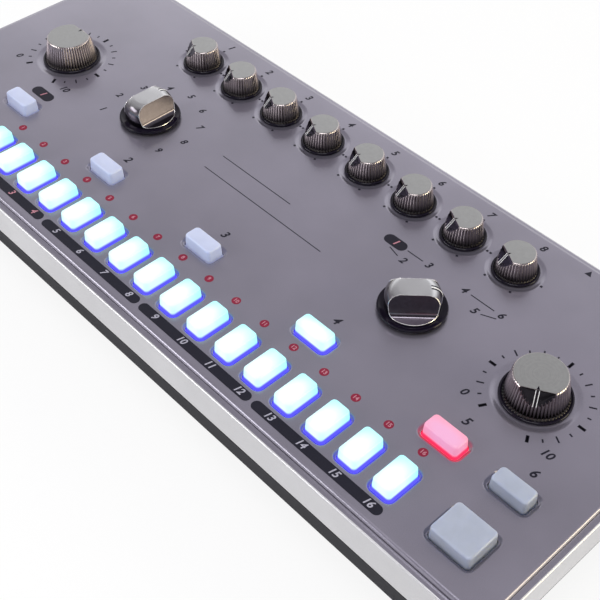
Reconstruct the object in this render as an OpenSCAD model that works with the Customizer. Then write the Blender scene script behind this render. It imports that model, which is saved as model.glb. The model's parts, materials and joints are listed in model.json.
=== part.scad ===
// Step-sequencing drum machine for the desk: a two-part case with a raised control panel,
// sixteen lit step keys, a row of level knobs, four large dials and a socket plate at the rear.
// The origin is the middle of the footprint, on the surface that the feet stand on.
// +X is the player's right, +Y is the rear with the sockets, +Z is up. Millimetres.

/* [Panel grid] */
// Spacing of the step keys
key_pitch = 13; // [12.6:0.05:16]
// Left case face to the first step key
left_margin = 63.3; // [62:0.1:76]
// Last step key to the right case face
right_margin = 45.7; // [45:0.1:60]
// Front case face to the row of step keys
front_margin = 17.4; // [16.8:0.1:26]
// Row of step keys to the row of function buttons
button_row_gap = 20.1; // [19.8:0.1:28]
// Row of function buttons to the row of selector knobs
selector_row_gap = 29.3; // [28:0.1:36]
// Row of function buttons to the row of tempo and volume knobs
dial_row_gap = 30.6; // [28:0.1:36]
// Row of function buttons to the row of level knobs
level_row_gap = 65.8; // [65:0.1:80]
// Row of level knobs to the rear case face
rear_margin = 21.2; // [20.8:0.1:30]
// Spacing of the level knobs
level_pitch = 22; // [20:0.1:24]
// Right case face to the last level knob
level_margin = 74.6; // [70:0.1:84]
// Right case face to the volume knob
volume_margin = 38.2; // [34:0.1:44]
// Left case face to the tempo knob
tempo_margin = 38.2; // [34:0.1:44]
// Right case face to the mode selector
mode_margin = 85.4; // [82:0.1:92]
// Left case face to the instrument selector
instrument_margin = 89; // [82:0.1:92]
// Right case face to the tap key at the end of the step row
large_key_margin = 21.6; // [20:0.1:24]

/* [Case] */
// Height of the rubber feet below the lower shell
foot_h = 3.5; // [2:0.1:8]
// Diameter of the rubber feet
foot_d = 13; // [8:0.5:18]
// Depth of the recess that holds each foot
foot_seat = 0.8; // [0.4:0.1:1.2]
// Height of the lower shell
lower_h = 17.7; // [17:0.1:28]
// Height of the upper frame's outer face
frame_h = 12.4; // [11:0.1:18]
// Inward slope of the lower shell's front and sides, in degrees
lower_slope = 16; // [0:1:20]
// Radius of the case's upright corners
corner_r = 4; // [2:0.5:6]
// Thickness of the front and side walls
wall_t = 2.5; // [2:0.1:3]
// Thickness of the rear wall, which the socket plate bears on
rear_wall_t = 4; // [3.8:0.1:5]
// Thickness of the lower shell's floor
floor_t = 2.5; // [2:0.1:4]
// Size of the shadow groove between the two shells
reveal = 0.6; // [0.3:0.1:1.2]
// Width of the frame's ledge under the panel, inside the wall
ledge_w = 3; // [2:0.1:3.6]
// Thickness of that ledge
ledge_t = 2; // [1.5:0.1:3]

/* [Control panel] */
// Height of the panel's top above the frame's rim
panel_proud = 1.4; // [0.8:0.1:1.8]
// Thickness of the panel sheet
panel_t = 2; // [1.9:0.1:3]
// Width of the frame's rim around the panel
rim_w = 2.1; // [1.6:0.1:2.4]
// Radius of the frame's rounded upper edge
frame_edge = 0.6; // [0.3:0.1:1]
// Radius of the panel's rounded upper edge
panel_edge = 0.9; // [0.4:0.1:1]
// Gap between the panel's edge and the frame
panel_gap = 0.2; // [0.1:0.05:0.4]
// Diameter of the panel's threaded studs
stud_d = 6; // [5:0.1:7]

/* [Keys and buttons] */
// Width of a step key
step_w = 6.9; // [6:0.1:8]
// Depth of a step key
step_d = 12.1; // [11:0.1:14]
// Width of a function button
button_w = 12.5; // [11:0.1:15]
// Depth of a function button
button_d = 6; // [5.5:0.1:8]
// Width of the tap key
large_w = 14; // [12:0.1:16]
// Width of the start key
start_w = 32; // [26:0.1:33]
// Height of the keys above the panel
key_rise = 3.8; // [3:0.1:6]
// How far a key or button is pressed
key_travel = 1.5; // [0.8:0.1:1.7]
// Corner radius of the keys, seen from above
key_r = 1.1; // [0.5:0.1:2]
// Rounding of the keys' top edges
key_edge = 0.7; // [0.3:0.1:1.2]
// Gap between a key and its opening
key_gap = 0.5; // [0.3:0.05:0.8]
// Width of the dished lip round the openings of the key row
lip_w = 0.8; // [0.5:0.1:1.2]
// Width of the dished lip round the openings of the function buttons
button_lip_w = 1.2; // [0.5:0.1:1.4]
// Width by which a key's hidden flange passes its opening
flange_lap = 0.7; // [0.5:0.1:0.9]
// Thickness of that flange
flange_t = 1.1; // [0.8:0.1:1.4]
// Wall of the hollow keys
key_wall = 1.1; // [0.8:0.1:1.4]
// Diameter of a key's plunger
plunger_d = 3.2; // [2.6:0.1:3.4]
// Reach of a released plunger into its switch
plunger_reach = 1.4; // [1:0.1:1.6]
// Width of a switch under a key
switch_w = 6.2; // [5.5:0.1:7]
// Height of that switch
switch_h = 4.3; // [4.2:0.1:4.6]

/* [Knobs] */
// Flange diameter of a level knob
level_flange_d = 15.7; // [15.4:0.1:18]
// Foot diameter of a level knob's grip
level_grip_d = 13.8; // [13:0.1:15.5]
// Top diameter of a level knob's grip
level_top_d = 11.6; // [10.6:0.1:13]
// Height of a level knob above the panel
level_knob_h = 7.8; // [7.5:0.1:12]
// Flange diameter of the tempo and volume knobs
dial_flange_d = 21.9; // [21.6:0.1:25]
// Foot diameter of their grip
dial_grip_d = 19.5; // [18.6:0.1:21.5]
// Top diameter of their grip
dial_top_d = 16.6; // [16:0.1:19]
// Height of the tempo and volume knobs above the panel
dial_knob_h = 9.5; // [9:0.1:14]
// Flange diameter of a selector knob
selector_flange_d = 22.2; // [21.4:0.1:25]
// Diameter of a selector knob's body
selector_body_d = 17.8; // [17:0.1:20]
// Height of a selector knob above the panel
selector_knob_h = 9.8; // [9.5:0.1:14]
// Width of a selector's bar at its top
bar_w = 7; // [6.6:0.1:8.5]
// Height of the shelf beside that bar, above the panel
shelf_h = 2.2; // [2.1:0.1:2.8]
// Lean of that bar's sides, from its top edge out to the shelf
bar_lean = 1.7; // [0.8:0.1:2]
// Radius of the hollow between a side of the bar and the shelf
scoop_r = 1.6; // [0.8:0.1:1.8]
// Rounding of a selector knob's crown
selector_crown = 4.2; // [2:0.1:4.6]
// Thickness of the knobs' flanges
knob_flange_t = 0.9; // [0.7:0.1:1]
// Depth of the wells in the panel that the round knobs stand in
well_depth = 0.6; // [0.3:0.1:1]
// Gap between a knob's flange and the wall of its well
well_gap = 0.9; // [0.5:0.1:1.2]
// Gap under the round knobs
knob_gap = 0.4; // [0.3:0.1:0.5]
// Gap under the selector knobs
selector_gap = 1; // [0.4:0.1:1.1]
// Depth of the flutes round the grips
flute_depth = 0.35; // [0.2:0.05:0.5]
// Diameter of the turning spindles
spindle_d = 6; // [4:0.1:6.2]
// Running clearance round a spindle
spindle_fit = 0.05; // [0.02:0.01:0.1]
// Depth of the flat on a spindle's top
spindle_flat = 1.2; // [0.8:0.1:1.6]
// Thickness of the knob left over a spindle
spindle_roof = 1.8; // [1.2:0.1:2.4]

/* [Boards] */
// Panel's underside down to the main board, which the sockets can lessen
board_drop = 9.5; // [9.3:0.1:10]
// Least gap between the main board and the sockets below it
board_clear = 0.4; // [0.3:0.1:0.6]
// Thickness of the circuit boards
board_t = 1.6; // [1:0.1:1.8]
// Height of the socket board above the floor
board_boss_h = 1.2; // [1:0.1:2]
// Depth of the socket board from the plate
socket_board_d = 30; // [28:0.5:31]
// Width of a potentiometer
pot_w = 9.8; // [9:0.1:10]
// Height of a potentiometer's body
pot_h = 6.4; // [5.5:0.1:7]
// Diameter of the bushing that guides a spindle
bushing_d = 7.6; // [7.2:0.1:9]
// Width of a rotary switch
rotary_w = 16; // [14:0.1:17]
// Height of a rotary switch's body
rotary_h = 7; // [6:0.1:8]
// Screw core diameter
screw_d = 2.6; // [2:0.1:2.6]
// Screw head diameter
screw_head_d = 5.4; // [4.5:0.1:5.6]
// Screw head height
screw_head_h = 2; // [1.4:0.1:2]
// Diameter of the case screws' posts
post_d = 8.4; // [7.6:0.1:9]

/* [Sockets] */
// Thickness of the socket plate
plate_t = 2; // [1.5:0.1:2.4]
// Bore of the 6.35 mm audio jacks
audio_bore_d = 6.5; // [6.45:0.01:6.6]
// Bore of the 3.5 mm trigger jacks
trigger_bore_d = 3.64; // [3.6:0.01:3.7]
// Diameter of an audio jack's threaded nose
audio_nose_d = 9.2; // [8.6:0.1:9.6]
// Diameter of a trigger jack's threaded nose
trigger_nose_d = 5.8; // [5.2:0.1:6.4]
// Diameter of a round five-pin socket's face
din_face_d = 16; // [15.6:0.1:17]
// Depth of the five-pin sockets behind the plate
din_depth = 9.2; // [8.8:0.1:9.6]
// Depth of their bores
din_bore_depth = 7.2; // [6:0.1:8]
// Tilt of the power rocker to each side, in degrees
rocker_tilt = 8; // [5:1:9]

/* [Hidden] */
$fn = 48;
seam = 0.01;       // overlap that makes two shapes of one piece meet
air = 0.3;         // space kept between pieces that move past each other
fit = 0.1;         // space round a fixed piece in its hole

pot_sweep = 300;   // whole turn of a potentiometer, in degrees
step_count = 16;
level_count = 8;
button_columns = [-1, 3, 7, 11, 15];       // step columns with a function button above them

case_w = left_margin + (step_count - 1) * key_pitch + right_margin;
case_d = front_margin + button_row_gap + level_row_gap + rear_margin;

left_x = -case_w / 2;
right_x = case_w / 2;
front_y = -case_d / 2;
rear_y = case_d / 2;

key_row_y = front_y + front_margin;
button_row_y = key_row_y + button_row_gap;
selector_row_y = button_row_y + selector_row_gap;
dial_row_y = button_row_y + dial_row_gap;
level_row_y = rear_y - rear_margin;

function step_x(column) = left_x + left_margin + column * key_pitch;
function level_x(k) = right_x - level_margin - (level_count - 1 - k) * level_pitch;
volume_x = right_x - volume_margin;
tempo_x = left_x + tempo_margin;
mode_x = right_x - mode_margin;
instrument_x = left_x + instrument_margin;
tap_key_x = right_x - large_key_margin;
start_key_x = left_x + large_key_margin - large_w / 2 + start_w / 2;

// Centres of the function buttons: one over each fourth step, one over the tap key
button_xs = concat([for (column = button_columns) step_x(column)], [tap_key_x]);
button_count = len(button_xs);

// Sockets' own sizes
jack_w = 15.6;         // 6.35 mm jack
jack_d = 22;
jack_h = 12;
audio_gap = 4.4;
audio_bore_depth = 20;
audio_nose_out = 3;
audio_nut_lap = 4.4;
audio_nut_t = 1.9;
mini_w = 8;            // 3.5 mm jack
mini_d = 12;
mini_h = 6.4;
trigger_gap = 3.5;
trigger_bore_depth = 10;
trigger_nose_out = 2.4;
trigger_nut_lap = 2.4;
trigger_nut_t = 1.4;
din_body_w = 20;       // five-pin socket
din_body_h = 18.6;
din_gap = 2.5;
din_wall = 0.8;
din_core_d = 12.2;
din_core_h = 6.6;
din_pin_d = 1.6;
usb_w = 12;            // data socket
usb_h = 11;
usb_d = 16;
dc_body_w = 10;        // power inlet
dc_body_d = 13;
dc_body_h = 11;
dc_face_d = 9;
dc_bore_d = 6.2;
dc_bore_depth = 10;
dc_pin_d = 2;
power_body_w = 18.6;   // power switch
power_body_d = 15;
power_body_h = 12.6;
power_inset = 13;      // from the socket board's end to the middle of the power switch
board_end_gap = 14;    // from the case's left end to the socket board
board_far_gap = 42;    // from the case's right end to the socket board
boss_inset = 5;        // from the socket board's edges to the bosses in its corners

// Heights
lower_z = foot_h;
floor_z = lower_z + floor_t;
part_z = lower_z + lower_h;
rim_z = part_z + frame_h;
panel_z = rim_z + panel_proud;
panel_under_z = panel_z - panel_t;
ledge_z = panel_under_z - ledge_t;
socket_board_z = floor_z + board_boss_h;
socket_z = socket_board_z + board_t;
board_under_z = max(panel_under_z - board_drop - board_t,
                    socket_z + max(jack_h, power_body_h, usb_h, dc_body_h) + board_clear);
board_z = board_under_z + board_t;
key_top_z = panel_z + key_rise;
flange_top_z = panel_under_z - air;
flange_z = flange_top_z - flange_t;
switch_top_z = board_z + switch_h;
plunger_z = switch_top_z - plunger_reach;
switch_well_z = plunger_z - key_travel - air;
well_z = panel_z - well_depth;
knob_z = well_z + knob_gap;
selector_z = panel_z + selector_gap;

panel_w = case_w - 2 * rim_w - 2 * panel_gap;
panel_d = case_d - 2 * rim_w - 2 * panel_gap;
panel_r = corner_r - rim_w;
board_margin = wall_t + 4;

// Socket plate
plate_out_y = rear_y - rear_wall_t;
plate_in_y = plate_out_y - plate_t;
plate_lap = 2;
plate_w = case_w - 2 * (corner_r + 6);
plate_gap_w = plate_w - 2 * plate_lap;
plate_groove = 1;
plate_sill_z = floor_z + 1;

// Studs of the panel: those that a case screw reaches, then those that only hold the board
stud_inset = max(lower_h * tan(lower_slope) + post_d / 2, wall_t + ledge_w + stud_d / 2) + 2;
stud_front_y = (key_row_y + button_row_y) / 2 + 1.7;
stud_rear_y = plate_in_y - socket_board_d - post_d / 2 - 1;
case_studs = [
    for (side = [-1, 1]) each [
        [side * (case_w / 2 - stud_inset), (button_row_y + selector_row_y) / 2],
        [side * key_pitch * 5.5, stud_front_y],
        [side * key_pitch * 7.2, stud_rear_y],
    ]
];
board_studs = [[0, stud_front_y], [0, stud_rear_y]];
stud_thread = 7;
socket_board_x0 = left_x + board_end_gap;
socket_board_x1 = right_x - board_far_gap;
socket_board_y0 = plate_in_y - socket_board_d;
socket_bosses = [
    for (x = [socket_board_x0 + boss_inset, step_x(3.2), step_x(10.7), socket_board_x1 - boss_inset])
        [x, socket_board_y0 + boss_inset]
];

// Sockets, from the player's left to right
socket_gap = 4.5;      // between sockets of different kinds
power_x = socket_board_x0 + power_inset;
dc_x = power_x + (power_body_w + dc_body_w) / 2 + socket_gap;
usb_x = dc_x + (dc_body_w + usb_w) / 2 + socket_gap;
din_x0 = usb_x + (usb_w + din_body_w) / 2 + socket_gap;
din_xs = [for (k = [0 : 3]) din_x0 + k * (din_body_w + din_gap)];
trigger_x0 = din_xs[3] + (din_body_w + mini_w) / 2 + socket_gap;
trigger_xs = [for (k = [0 : 2]) trigger_x0 + k * (mini_w + trigger_gap)];
audio_x0 = trigger_xs[2] + (mini_w + jack_w) / 2 + socket_gap;
audio_xs = [for (k = [0 : 2]) audio_x0 + k * (jack_w + audio_gap)];

audio_z = socket_z + jack_h / 2;
trigger_z = socket_z + mini_h / 2;
din_z = socket_z + din_body_h / 2;
usb_z = socket_z + usb_h / 2;
dc_z = socket_z + dc_body_h / 2;
power_z = socket_z + power_body_h / 2;

// Colours
panel_colour = [0.55, 0.545, 0.59];
frame_colour = [0.78, 0.78, 0.79];
lower_colour = [0.30, 0.30, 0.32];
black_colour = [0.07, 0.07, 0.08];
board_colour = [0.07, 0.30, 0.18];
steel_colour = [0.72, 0.72, 0.74];
knob_colour = [0.42, 0.40, 0.42];
key_colour = [0.84, 0.88, 0.96];
lit_colour = [0.80, 0.96, 1.0];
red_colour = [1.0, 0.45, 0.62];

function two_digits(n) = str(n < 10 ? "0" : "", n);
step_names = [for (k = [1 : step_count]) str("step_key_", two_digits(k))];
button_names = [for (k = [1 : button_count]) str("function_button_", k)];
level_names = [for (k = [1 : level_count]) str("level_knob_", k)];

// ---------- shared shapes ----------

// Upright block with rounded corners, standing on z = 0
module round_block(w, d, h, r) {
    translate([-w / 2 + r, -d / 2, 0]) cube([w - 2 * r, d, h]);
    translate([-w / 2, -d / 2 + r, 0]) cube([w, d - 2 * r, h]);
    for (x = [-w / 2 + r, w / 2 - r], y = [-d / 2 + r, d / 2 - r])
        translate([x, y, 0]) cylinder(r = r, h = h);
}

// Side view of a block whose two upper edges are round
module crowned_outline(w, h, edge) {
    translate([-w / 2, 0]) square([w, h - edge]);
    translate([-w / 2 + edge, 0]) square([w - 2 * edge, h]);
    for (x = [-w / 2 + edge, w / 2 - edge]) translate([x, h - edge]) circle(r = edge);
}

// Upright block with rounded corners and a rounded upper edge all round
module crowned_block(w, d, h, r, edge) {
    intersection() {
        round_block(w, d, h, r);
        rotate([90, 0, 0]) linear_extrude(d + 2, center = true) crowned_outline(w, h, edge);
        rotate([90, 0, 90]) linear_extrude(w + 2, center = true) crowned_outline(d, h, edge);
    }
}

// Side view of a cut that widens upwards by flare on each side
module flared_outline(w, h, flare) {
    polygon([[-w / 2, 0], [w / 2, 0], [w / 2 + flare, h], [-w / 2 - flare, h]]);
}

// Dished cut around an opening
module flared_cut(w, d, h, r, flare) {
    rotate([90, 0, 0]) linear_extrude(d - 2 * r, center = true) flared_outline(w, h, flare);
    rotate([90, 0, 90]) linear_extrude(w - 2 * r, center = true) flared_outline(d, h, flare);
    for (x = [-w / 2 + r, w / 2 - r], y = [-d / 2 + r, d / 2 - r])
        translate([x, y, 0]) cylinder(r1 = r, r2 = r + flare, h = h);
}

// Round bar along +Y from y = 0
module bar_y(d, length) {
    rotate([-90, 0, 0]) cylinder(d = d, h = length);
}

// Pan-head screw whose head stands on z = 0 and whose core points up
module screw_up(length) {
    cylinder(d = screw_head_d, h = screw_head_h);
    cylinder(d = screw_d, h = screw_head_h + length);
}

// ---------- case ----------

// Plan of the case between two heights
module case_block(z0, z1) {
    translate([0, 0, z0]) round_block(case_w, case_d, z1 - z0, corner_r);
}

// Slopes the front and sides of a block that narrows by inset, measured at the parting line
module sloped_case_cut(inset) {
    drop = lower_h + 1;
    lean = drop * tan(lower_slope);
    top_w = case_w / 2 - inset;
    top_front = front_y + inset;
    intersection() {
        rotate([90, 0, 0]) linear_extrude(case_d + 2, center = true)
            polygon([[-top_w + lean, part_z - drop], [top_w - lean, part_z - drop],
                     [top_w, part_z], [-top_w, part_z]]);
        rotate([90, 0, 90]) linear_extrude(case_w + 2, center = true)
            polygon([[top_front + lean, part_z - drop], [rear_y + 1, part_z - drop],
                     [rear_y + 1, part_z], [top_front, part_z]]);
    }
}

module upper_frame() color(frame_colour) {
    inner_w = case_w - 2 * wall_t;
    inner_d = case_d - wall_t - rear_wall_t;
    inner_y = (wall_t - rear_wall_t) / 2;
    difference() {
        translate([0, 0, part_z]) crowned_block(case_w, case_d, frame_h, corner_r, frame_edge);
        // pocket for the panel
        translate([0, 0, panel_under_z])
            round_block(case_w - 2 * rim_w, case_d - 2 * rim_w, panel_t, corner_r - rim_w);
        // opening inside the ledge
        translate([0, 0, part_z - seam])
            round_block(inner_w - 2 * ledge_w, case_d - 2 * (wall_t + ledge_w),
                        frame_h, corner_r - wall_t);
        // space under the ledge
        translate([0, inner_y, part_z - seam])
            round_block(inner_w, inner_d, ledge_z - part_z + seam, corner_r - wall_t);
        // opening in the rear wall for the sockets
        translate([-plate_gap_w / 2, plate_out_y - 1, part_z - seam])
            cube([plate_gap_w, rear_wall_t + 2, ledge_z - part_z + seam]);
        // shadow groove along the parting line
        difference() {
            case_block(part_z - seam, part_z + reveal);
            translate([0, 0, part_z - 2 * seam])
                round_block(case_w - 2 * reveal, case_d - 2 * reveal, reveal + 4 * seam,
                            corner_r - reveal);
        }
    }
}

module lower_shell() color(lower_colour) {
    slope_t = wall_t / cos(lower_slope);
    difference() {
        union() {
            difference() {
                intersection() {
                    case_block(lower_z, part_z);
                    sloped_case_cut(0);
                }
                // inside
                intersection() {
                    translate([0, (wall_t - rear_wall_t) / 2, floor_z])
                        round_block(case_w - 2 * wall_t, case_d - wall_t - rear_wall_t,
                                    lower_h, corner_r - wall_t);
                    translate([0, 0, seam]) sloped_case_cut(slope_t);
                }
            }
            // posts for the case screws
            for (p = case_studs)
                translate([p.x, p.y, lower_z]) cylinder(d = post_d, h = board_under_z - lower_z);
            // bosses under the socket board
            for (p = socket_bosses)
                translate([p.x, p.y, lower_z])
                    cylinder(d = post_d, h = socket_board_z - lower_z);
        }
        for (p = case_studs) {
            translate([p.x, p.y, lower_z - seam])
                cylinder(d = screw_head_d + 4 * fit, h = post_head_depth + seam);
            translate([p.x, p.y, lower_z])
                cylinder(d = screw_d + 6 * fit, h = board_under_z - lower_z + seam);
        }
        for (p = socket_bosses)
            translate([p.x, p.y, lower_z + 0.8]) cylinder(d = screw_d + fit, h = lower_h);
        // recesses for the feet
        for (p = foot_spots)
            translate([p.x, p.y, lower_z - seam]) cylinder(d = foot_d + fit, h = foot_seat + seam);
        // opening and groove for the socket plate
        translate([-plate_gap_w / 2, plate_out_y - 1, plate_sill_z])
            cube([plate_gap_w, rear_wall_t + 2, lower_h]);
        translate([-plate_w / 2 - fit, plate_in_y - fit, floor_z - plate_groove])
            cube([plate_w + 2 * fit, plate_t + fit, lower_h]);
    }
}
post_head_depth = lower_h * 0.35;
foot_inset = lower_h * tan(lower_slope) + foot_d / 2 + 6;
foot_spots = [for (x = [left_x + foot_inset, right_x - foot_inset],
                   y = [front_y + foot_inset, rear_y - foot_d / 2 - 8]) [x, y]];

module socket_plate() color(black_colour) {
    z0 = floor_z - plate_groove;
    difference() {
        translate([-plate_w / 2, plate_in_y, z0]) cube([plate_w, plate_t, ledge_z - z0]);
        for (x = audio_xs)
            translate([x, plate_in_y - 1, audio_z]) bar_y(audio_nose_d + 2 * fit, plate_t + 2);
        for (x = trigger_xs)
            translate([x, plate_in_y - 1, trigger_z]) bar_y(trigger_nose_d + 2 * fit, plate_t + 2);
        for (x = din_xs)
            translate([x, plate_in_y - 1, din_z]) bar_y(din_face_d + 2 * fit, plate_t + 2);
        translate([dc_x, plate_in_y - 1, dc_z]) bar_y(dc_face_d + 2 * fit, plate_t + 2);
        translate([usb_x - usb_w / 2 - fit, plate_in_y - 1, usb_z - usb_h / 2 - fit])
            cube([usb_w + 2 * fit, plate_t + 2, usb_h + 2 * fit]);
        translate([power_x - power_body_w / 2 - fit, plate_in_y - 1, power_z - power_body_h / 2 - fit])
            cube([power_body_w + 2 * fit, plate_t + 2, power_body_h + 2 * fit]);
    }
}

module rubber_feet() color(black_colour)
    for (p = foot_spots) translate([p.x, p.y, 0])
        rotate_extrude()
            polygon([[0, 0], [foot_d / 2 - 1, 0], [foot_d / 2, 1], [foot_d / 2, foot_h + foot_seat],
                     [0, foot_h + foot_seat]]);

module case_screws() color(steel_colour) {
    head_z = lower_z + post_head_depth - screw_head_h;
    for (p = case_studs) translate([p.x, p.y, head_z])
        screw_up(board_z + stud_thread - 1 - head_z - screw_head_h);
}

// ---------- control panel ----------

// Round well that a knob's flange turns in
module knob_well(flange_d) {
    r = flange_d / 2 + well_gap;
    translate([0, 0, well_z]) cylinder(r1 = r, r2 = r + well_depth / 2, h = well_depth + seam);
}

// Opening of a key, with the dished lip that leads into it
module key_opening(w, d, lip) {
    lip_depth = panel_t * 0.45;
    translate([0, 0, panel_under_z - 1])
        round_block(w + 2 * key_gap, d + 2 * key_gap, panel_t + 2, key_r + key_gap);
    translate([0, 0, panel_z - lip_depth])
        flared_cut(w + 2 * key_gap, d + 2 * key_gap, lip_depth + seam, key_r + key_gap, lip);
}

module control_panel() color(panel_colour) {
    difference() {
        union() {
            translate([0, 0, panel_under_z])
                crowned_block(panel_w, panel_d, panel_t, panel_r, panel_edge);
            for (p = concat(case_studs, board_studs))
                translate([p.x, p.y, board_z]) cylinder(d = stud_d, h = panel_under_z - board_z + 1);
        }
        for (p = concat(case_studs, board_studs))
            translate([p.x, p.y, board_z - seam]) cylinder(d = screw_d + fit, h = stud_thread);
        for (k = [0 : step_count - 1])
            translate([step_x(k), key_row_y, 0]) key_opening(step_w, step_d, lip_w);
        for (x = button_xs)
            translate([x, button_row_y, 0]) key_opening(button_w, button_d, button_lip_w);
        translate([start_key_x, key_row_y, 0]) key_opening(start_w, step_d, lip_w);
        translate([tap_key_x, key_row_y, 0]) key_opening(large_w, step_d, lip_w);
        for (p = level_spots) translate([p.x, p.y, 0]) knob_well(level_flange_d);
        for (p = dial_spots) translate([p.x, p.y, 0]) knob_well(dial_flange_d);
        for (p = concat(pot_spots, rotary_spots))
            translate([p.x, p.y, panel_under_z - 1]) cylinder(d = bushing_d + 2 * fit, h = panel_t + 2);
    }
}

// ---------- keys and buttons ----------

// Hollow translucent cap with a flange under the panel and a plunger into its switch
module key_cap(w, d) {
    roof = 1.2;
    cap_h = key_top_z - flange_z;
    difference() {
        union() {
            translate([0, 0, flange_z]) crowned_block(w, d, cap_h, key_r, key_edge);
            translate([0, 0, flange_z])
                round_block(w + 2 * (key_gap + flange_lap), d + 2 * (key_gap + flange_lap),
                            flange_t, key_r + key_gap);
        }
        translate([0, 0, flange_z - seam])
            round_block(w - 2 * key_wall, d - 2 * key_wall, cap_h - roof, key_r / 2);
    }
    translate([0, 0, plunger_z]) cylinder(d = plunger_d, h = key_top_z - plunger_z - roof / 2);
}

module step_key(k) color(lit_colour) translate([step_x(k), key_row_y, 0]) key_cap(step_w, step_d);

module function_button(k)
    color(k == 4 ? red_colour : k == 3 ? lit_colour : key_colour)
        translate([button_xs[k], button_row_y, 0]) key_cap(button_w, button_d);

module start_key() color(key_colour)
    translate([start_key_x, key_row_y, 0]) key_cap(start_w, step_d);

module tap_key() color(key_colour)
    translate([tap_key_x, key_row_y, 0]) key_cap(large_w, step_d);

// Where each key's switch stands, and the direction from it to its lamp
key_spots = concat(
    [for (k = [0 : step_count - 1]) [step_x(k), key_row_y, 0, 1]],
    [for (x = button_xs) [x, button_row_y, 1, 0]],
    [for (x = [start_key_x, tap_key_x]) [x, key_row_y, 0, 1]]
);

module key_switches() color(black_colour)
    for (s = key_spots) translate([s[0], s[1], board_z])
        difference() {
            translate([-switch_w / 2, -switch_w / 2, 0]) cube([switch_w, switch_w, switch_h]);
            translate([0, 0, switch_well_z - board_z])
                cylinder(d = plunger_d + 2 * spindle_fit, h = switch_h);
        }

module key_lamps() color("white")
    for (s = key_spots)
        translate([s[0] + s[2] * (switch_w / 2 + 1.6), s[1] + s[3] * (switch_w / 2 + 1.6), board_z]) {
            translate([-1, -1, 0]) cube([2, 2, 0.8]);
            cylinder(d = 1.6, h = 1.3);
        }

// ---------- knobs ----------

level_spots = [for (k = [0 : level_count - 1]) [level_x(k), level_row_y]];
dial_spots = [[tempo_x, dial_row_y], [volume_x, dial_row_y]];
pot_spots = concat(level_spots, dial_spots);
rotary_spots = [[instrument_x, selector_row_y], [mode_x, selector_row_y]];

// Outline of a grip with shallow flutes
module fluted_circle(d, flutes) {
    polygon([for (k = [0 : 2 * flutes - 1])
        let (a = k * 180 / flutes, r = d / 2 - (k % 2) * flute_depth) [r * cos(a), r * sin(a)]]);
}

// Bore of a knob: round, with the flat that keys it to its spindle
module spindle_bore(low_z, top_z) {
    translate([0, 0, low_z - seam]) cylinder(d = spindle_d + 2 * spindle_fit, h = 1 + seam);
    intersection() {
        translate([0, 0, low_z]) cylinder(d = spindle_d + 2 * spindle_fit, h = top_z - low_z);
        translate([-spindle_d, -spindle_d, low_z])
            cube([2 * spindle_d, 1.5 * spindle_d - spindle_flat + spindle_fit, top_z - low_z]);
    }
}

// Spindle from inside its potentiometer or switch up into the knob
module spindle(low_z, top_z) {
    difference() {
        translate([0, 0, board_z + 1]) cylinder(d = spindle_d, h = top_z - board_z - 1);
        translate([-spindle_d, spindle_d / 2 - spindle_flat, low_z + 1 - seam])
            cube([2 * spindle_d, spindle_d, top_z]);
    }
}

// Round knob with a fluted grip and a slanted facet that carries its pointer.
// The pointer leans towards -Y before the knob is turned.
module pointer_knob(flange_d, grip_d, top_d, knob_h, facet_top, facet_low) {
    top_z = panel_z + knob_h;
    grip_z = knob_z + knob_flange_t;
    bore_top = top_z - spindle_roof;
    flutes = round(grip_d * PI / 1.1);
    // the facet leaves the flat top at facet_top and meets the grip's side near facet_low
    low_z = panel_z + facet_low;
    side_r = grip_d / 2 - (grip_d - top_d) / 2 * (low_z - grip_z) / (top_z - grip_z);
    lean = atan2(top_z - low_z, side_r - facet_top);
    difference() {
        union() {
            translate([0, 0, knob_z])
                rotate_extrude() polygon([[0, 0], [flange_d / 2 - 0.3, 0], [flange_d / 2, 0.3],
                    [flange_d / 2, knob_flange_t - 0.2], [flange_d / 2 - 0.2, knob_flange_t],
                    [0, knob_flange_t]]);
            difference() {
                translate([0, 0, grip_z - seam])
                    linear_extrude(top_z - grip_z + seam, scale = top_d / grip_d)
                        fluted_circle(grip_d, flutes);
                translate([0, -facet_top, top_z]) rotate([lean, 0, 0])
                    translate([-grip_d, -2 * grip_d, 0]) cube([2 * grip_d, 2 * grip_d, grip_d]);
            }
            // pointer ridge on the facet
            translate([0, -facet_top, top_z]) rotate([lean, 0, 0])
                translate([-0.45, -(top_z - low_z) / sin(lean), -0.3])
                    cube([0.9, (top_z - low_z) / sin(lean) - 0.3, 0.55]);
        }
        spindle_bore(knob_z, bore_top);
        // dished top
        translate([0, 0, top_z - 0.25]) intersection() {
            cylinder(d = top_d - 1.4, h = 1);
            translate([-top_d, -facet_top + 0.5, 0]) cube([2 * top_d, 2 * top_d, 1]);
        }
    }
    spindle(knob_z, bore_top - air);
}

// Turned clockwise from +Y by the compass angle: the level knobs rest at their lowest mark
module level_knob(k) color(knob_colour)
    translate([level_x(k), level_row_y, 0]) rotate(180 + pot_sweep / 2)
        pointer_knob(level_flange_d, level_grip_d, level_top_d, level_knob_h, 3.6, 3.9);

module dial_knob(p, compass) color(knob_colour)
    translate([p.x, p.y, 0]) rotate(180 - compass)
        pointer_knob(dial_flange_d, dial_grip_d, dial_top_d, dial_knob_h, 6.1, 5.2);

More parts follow.
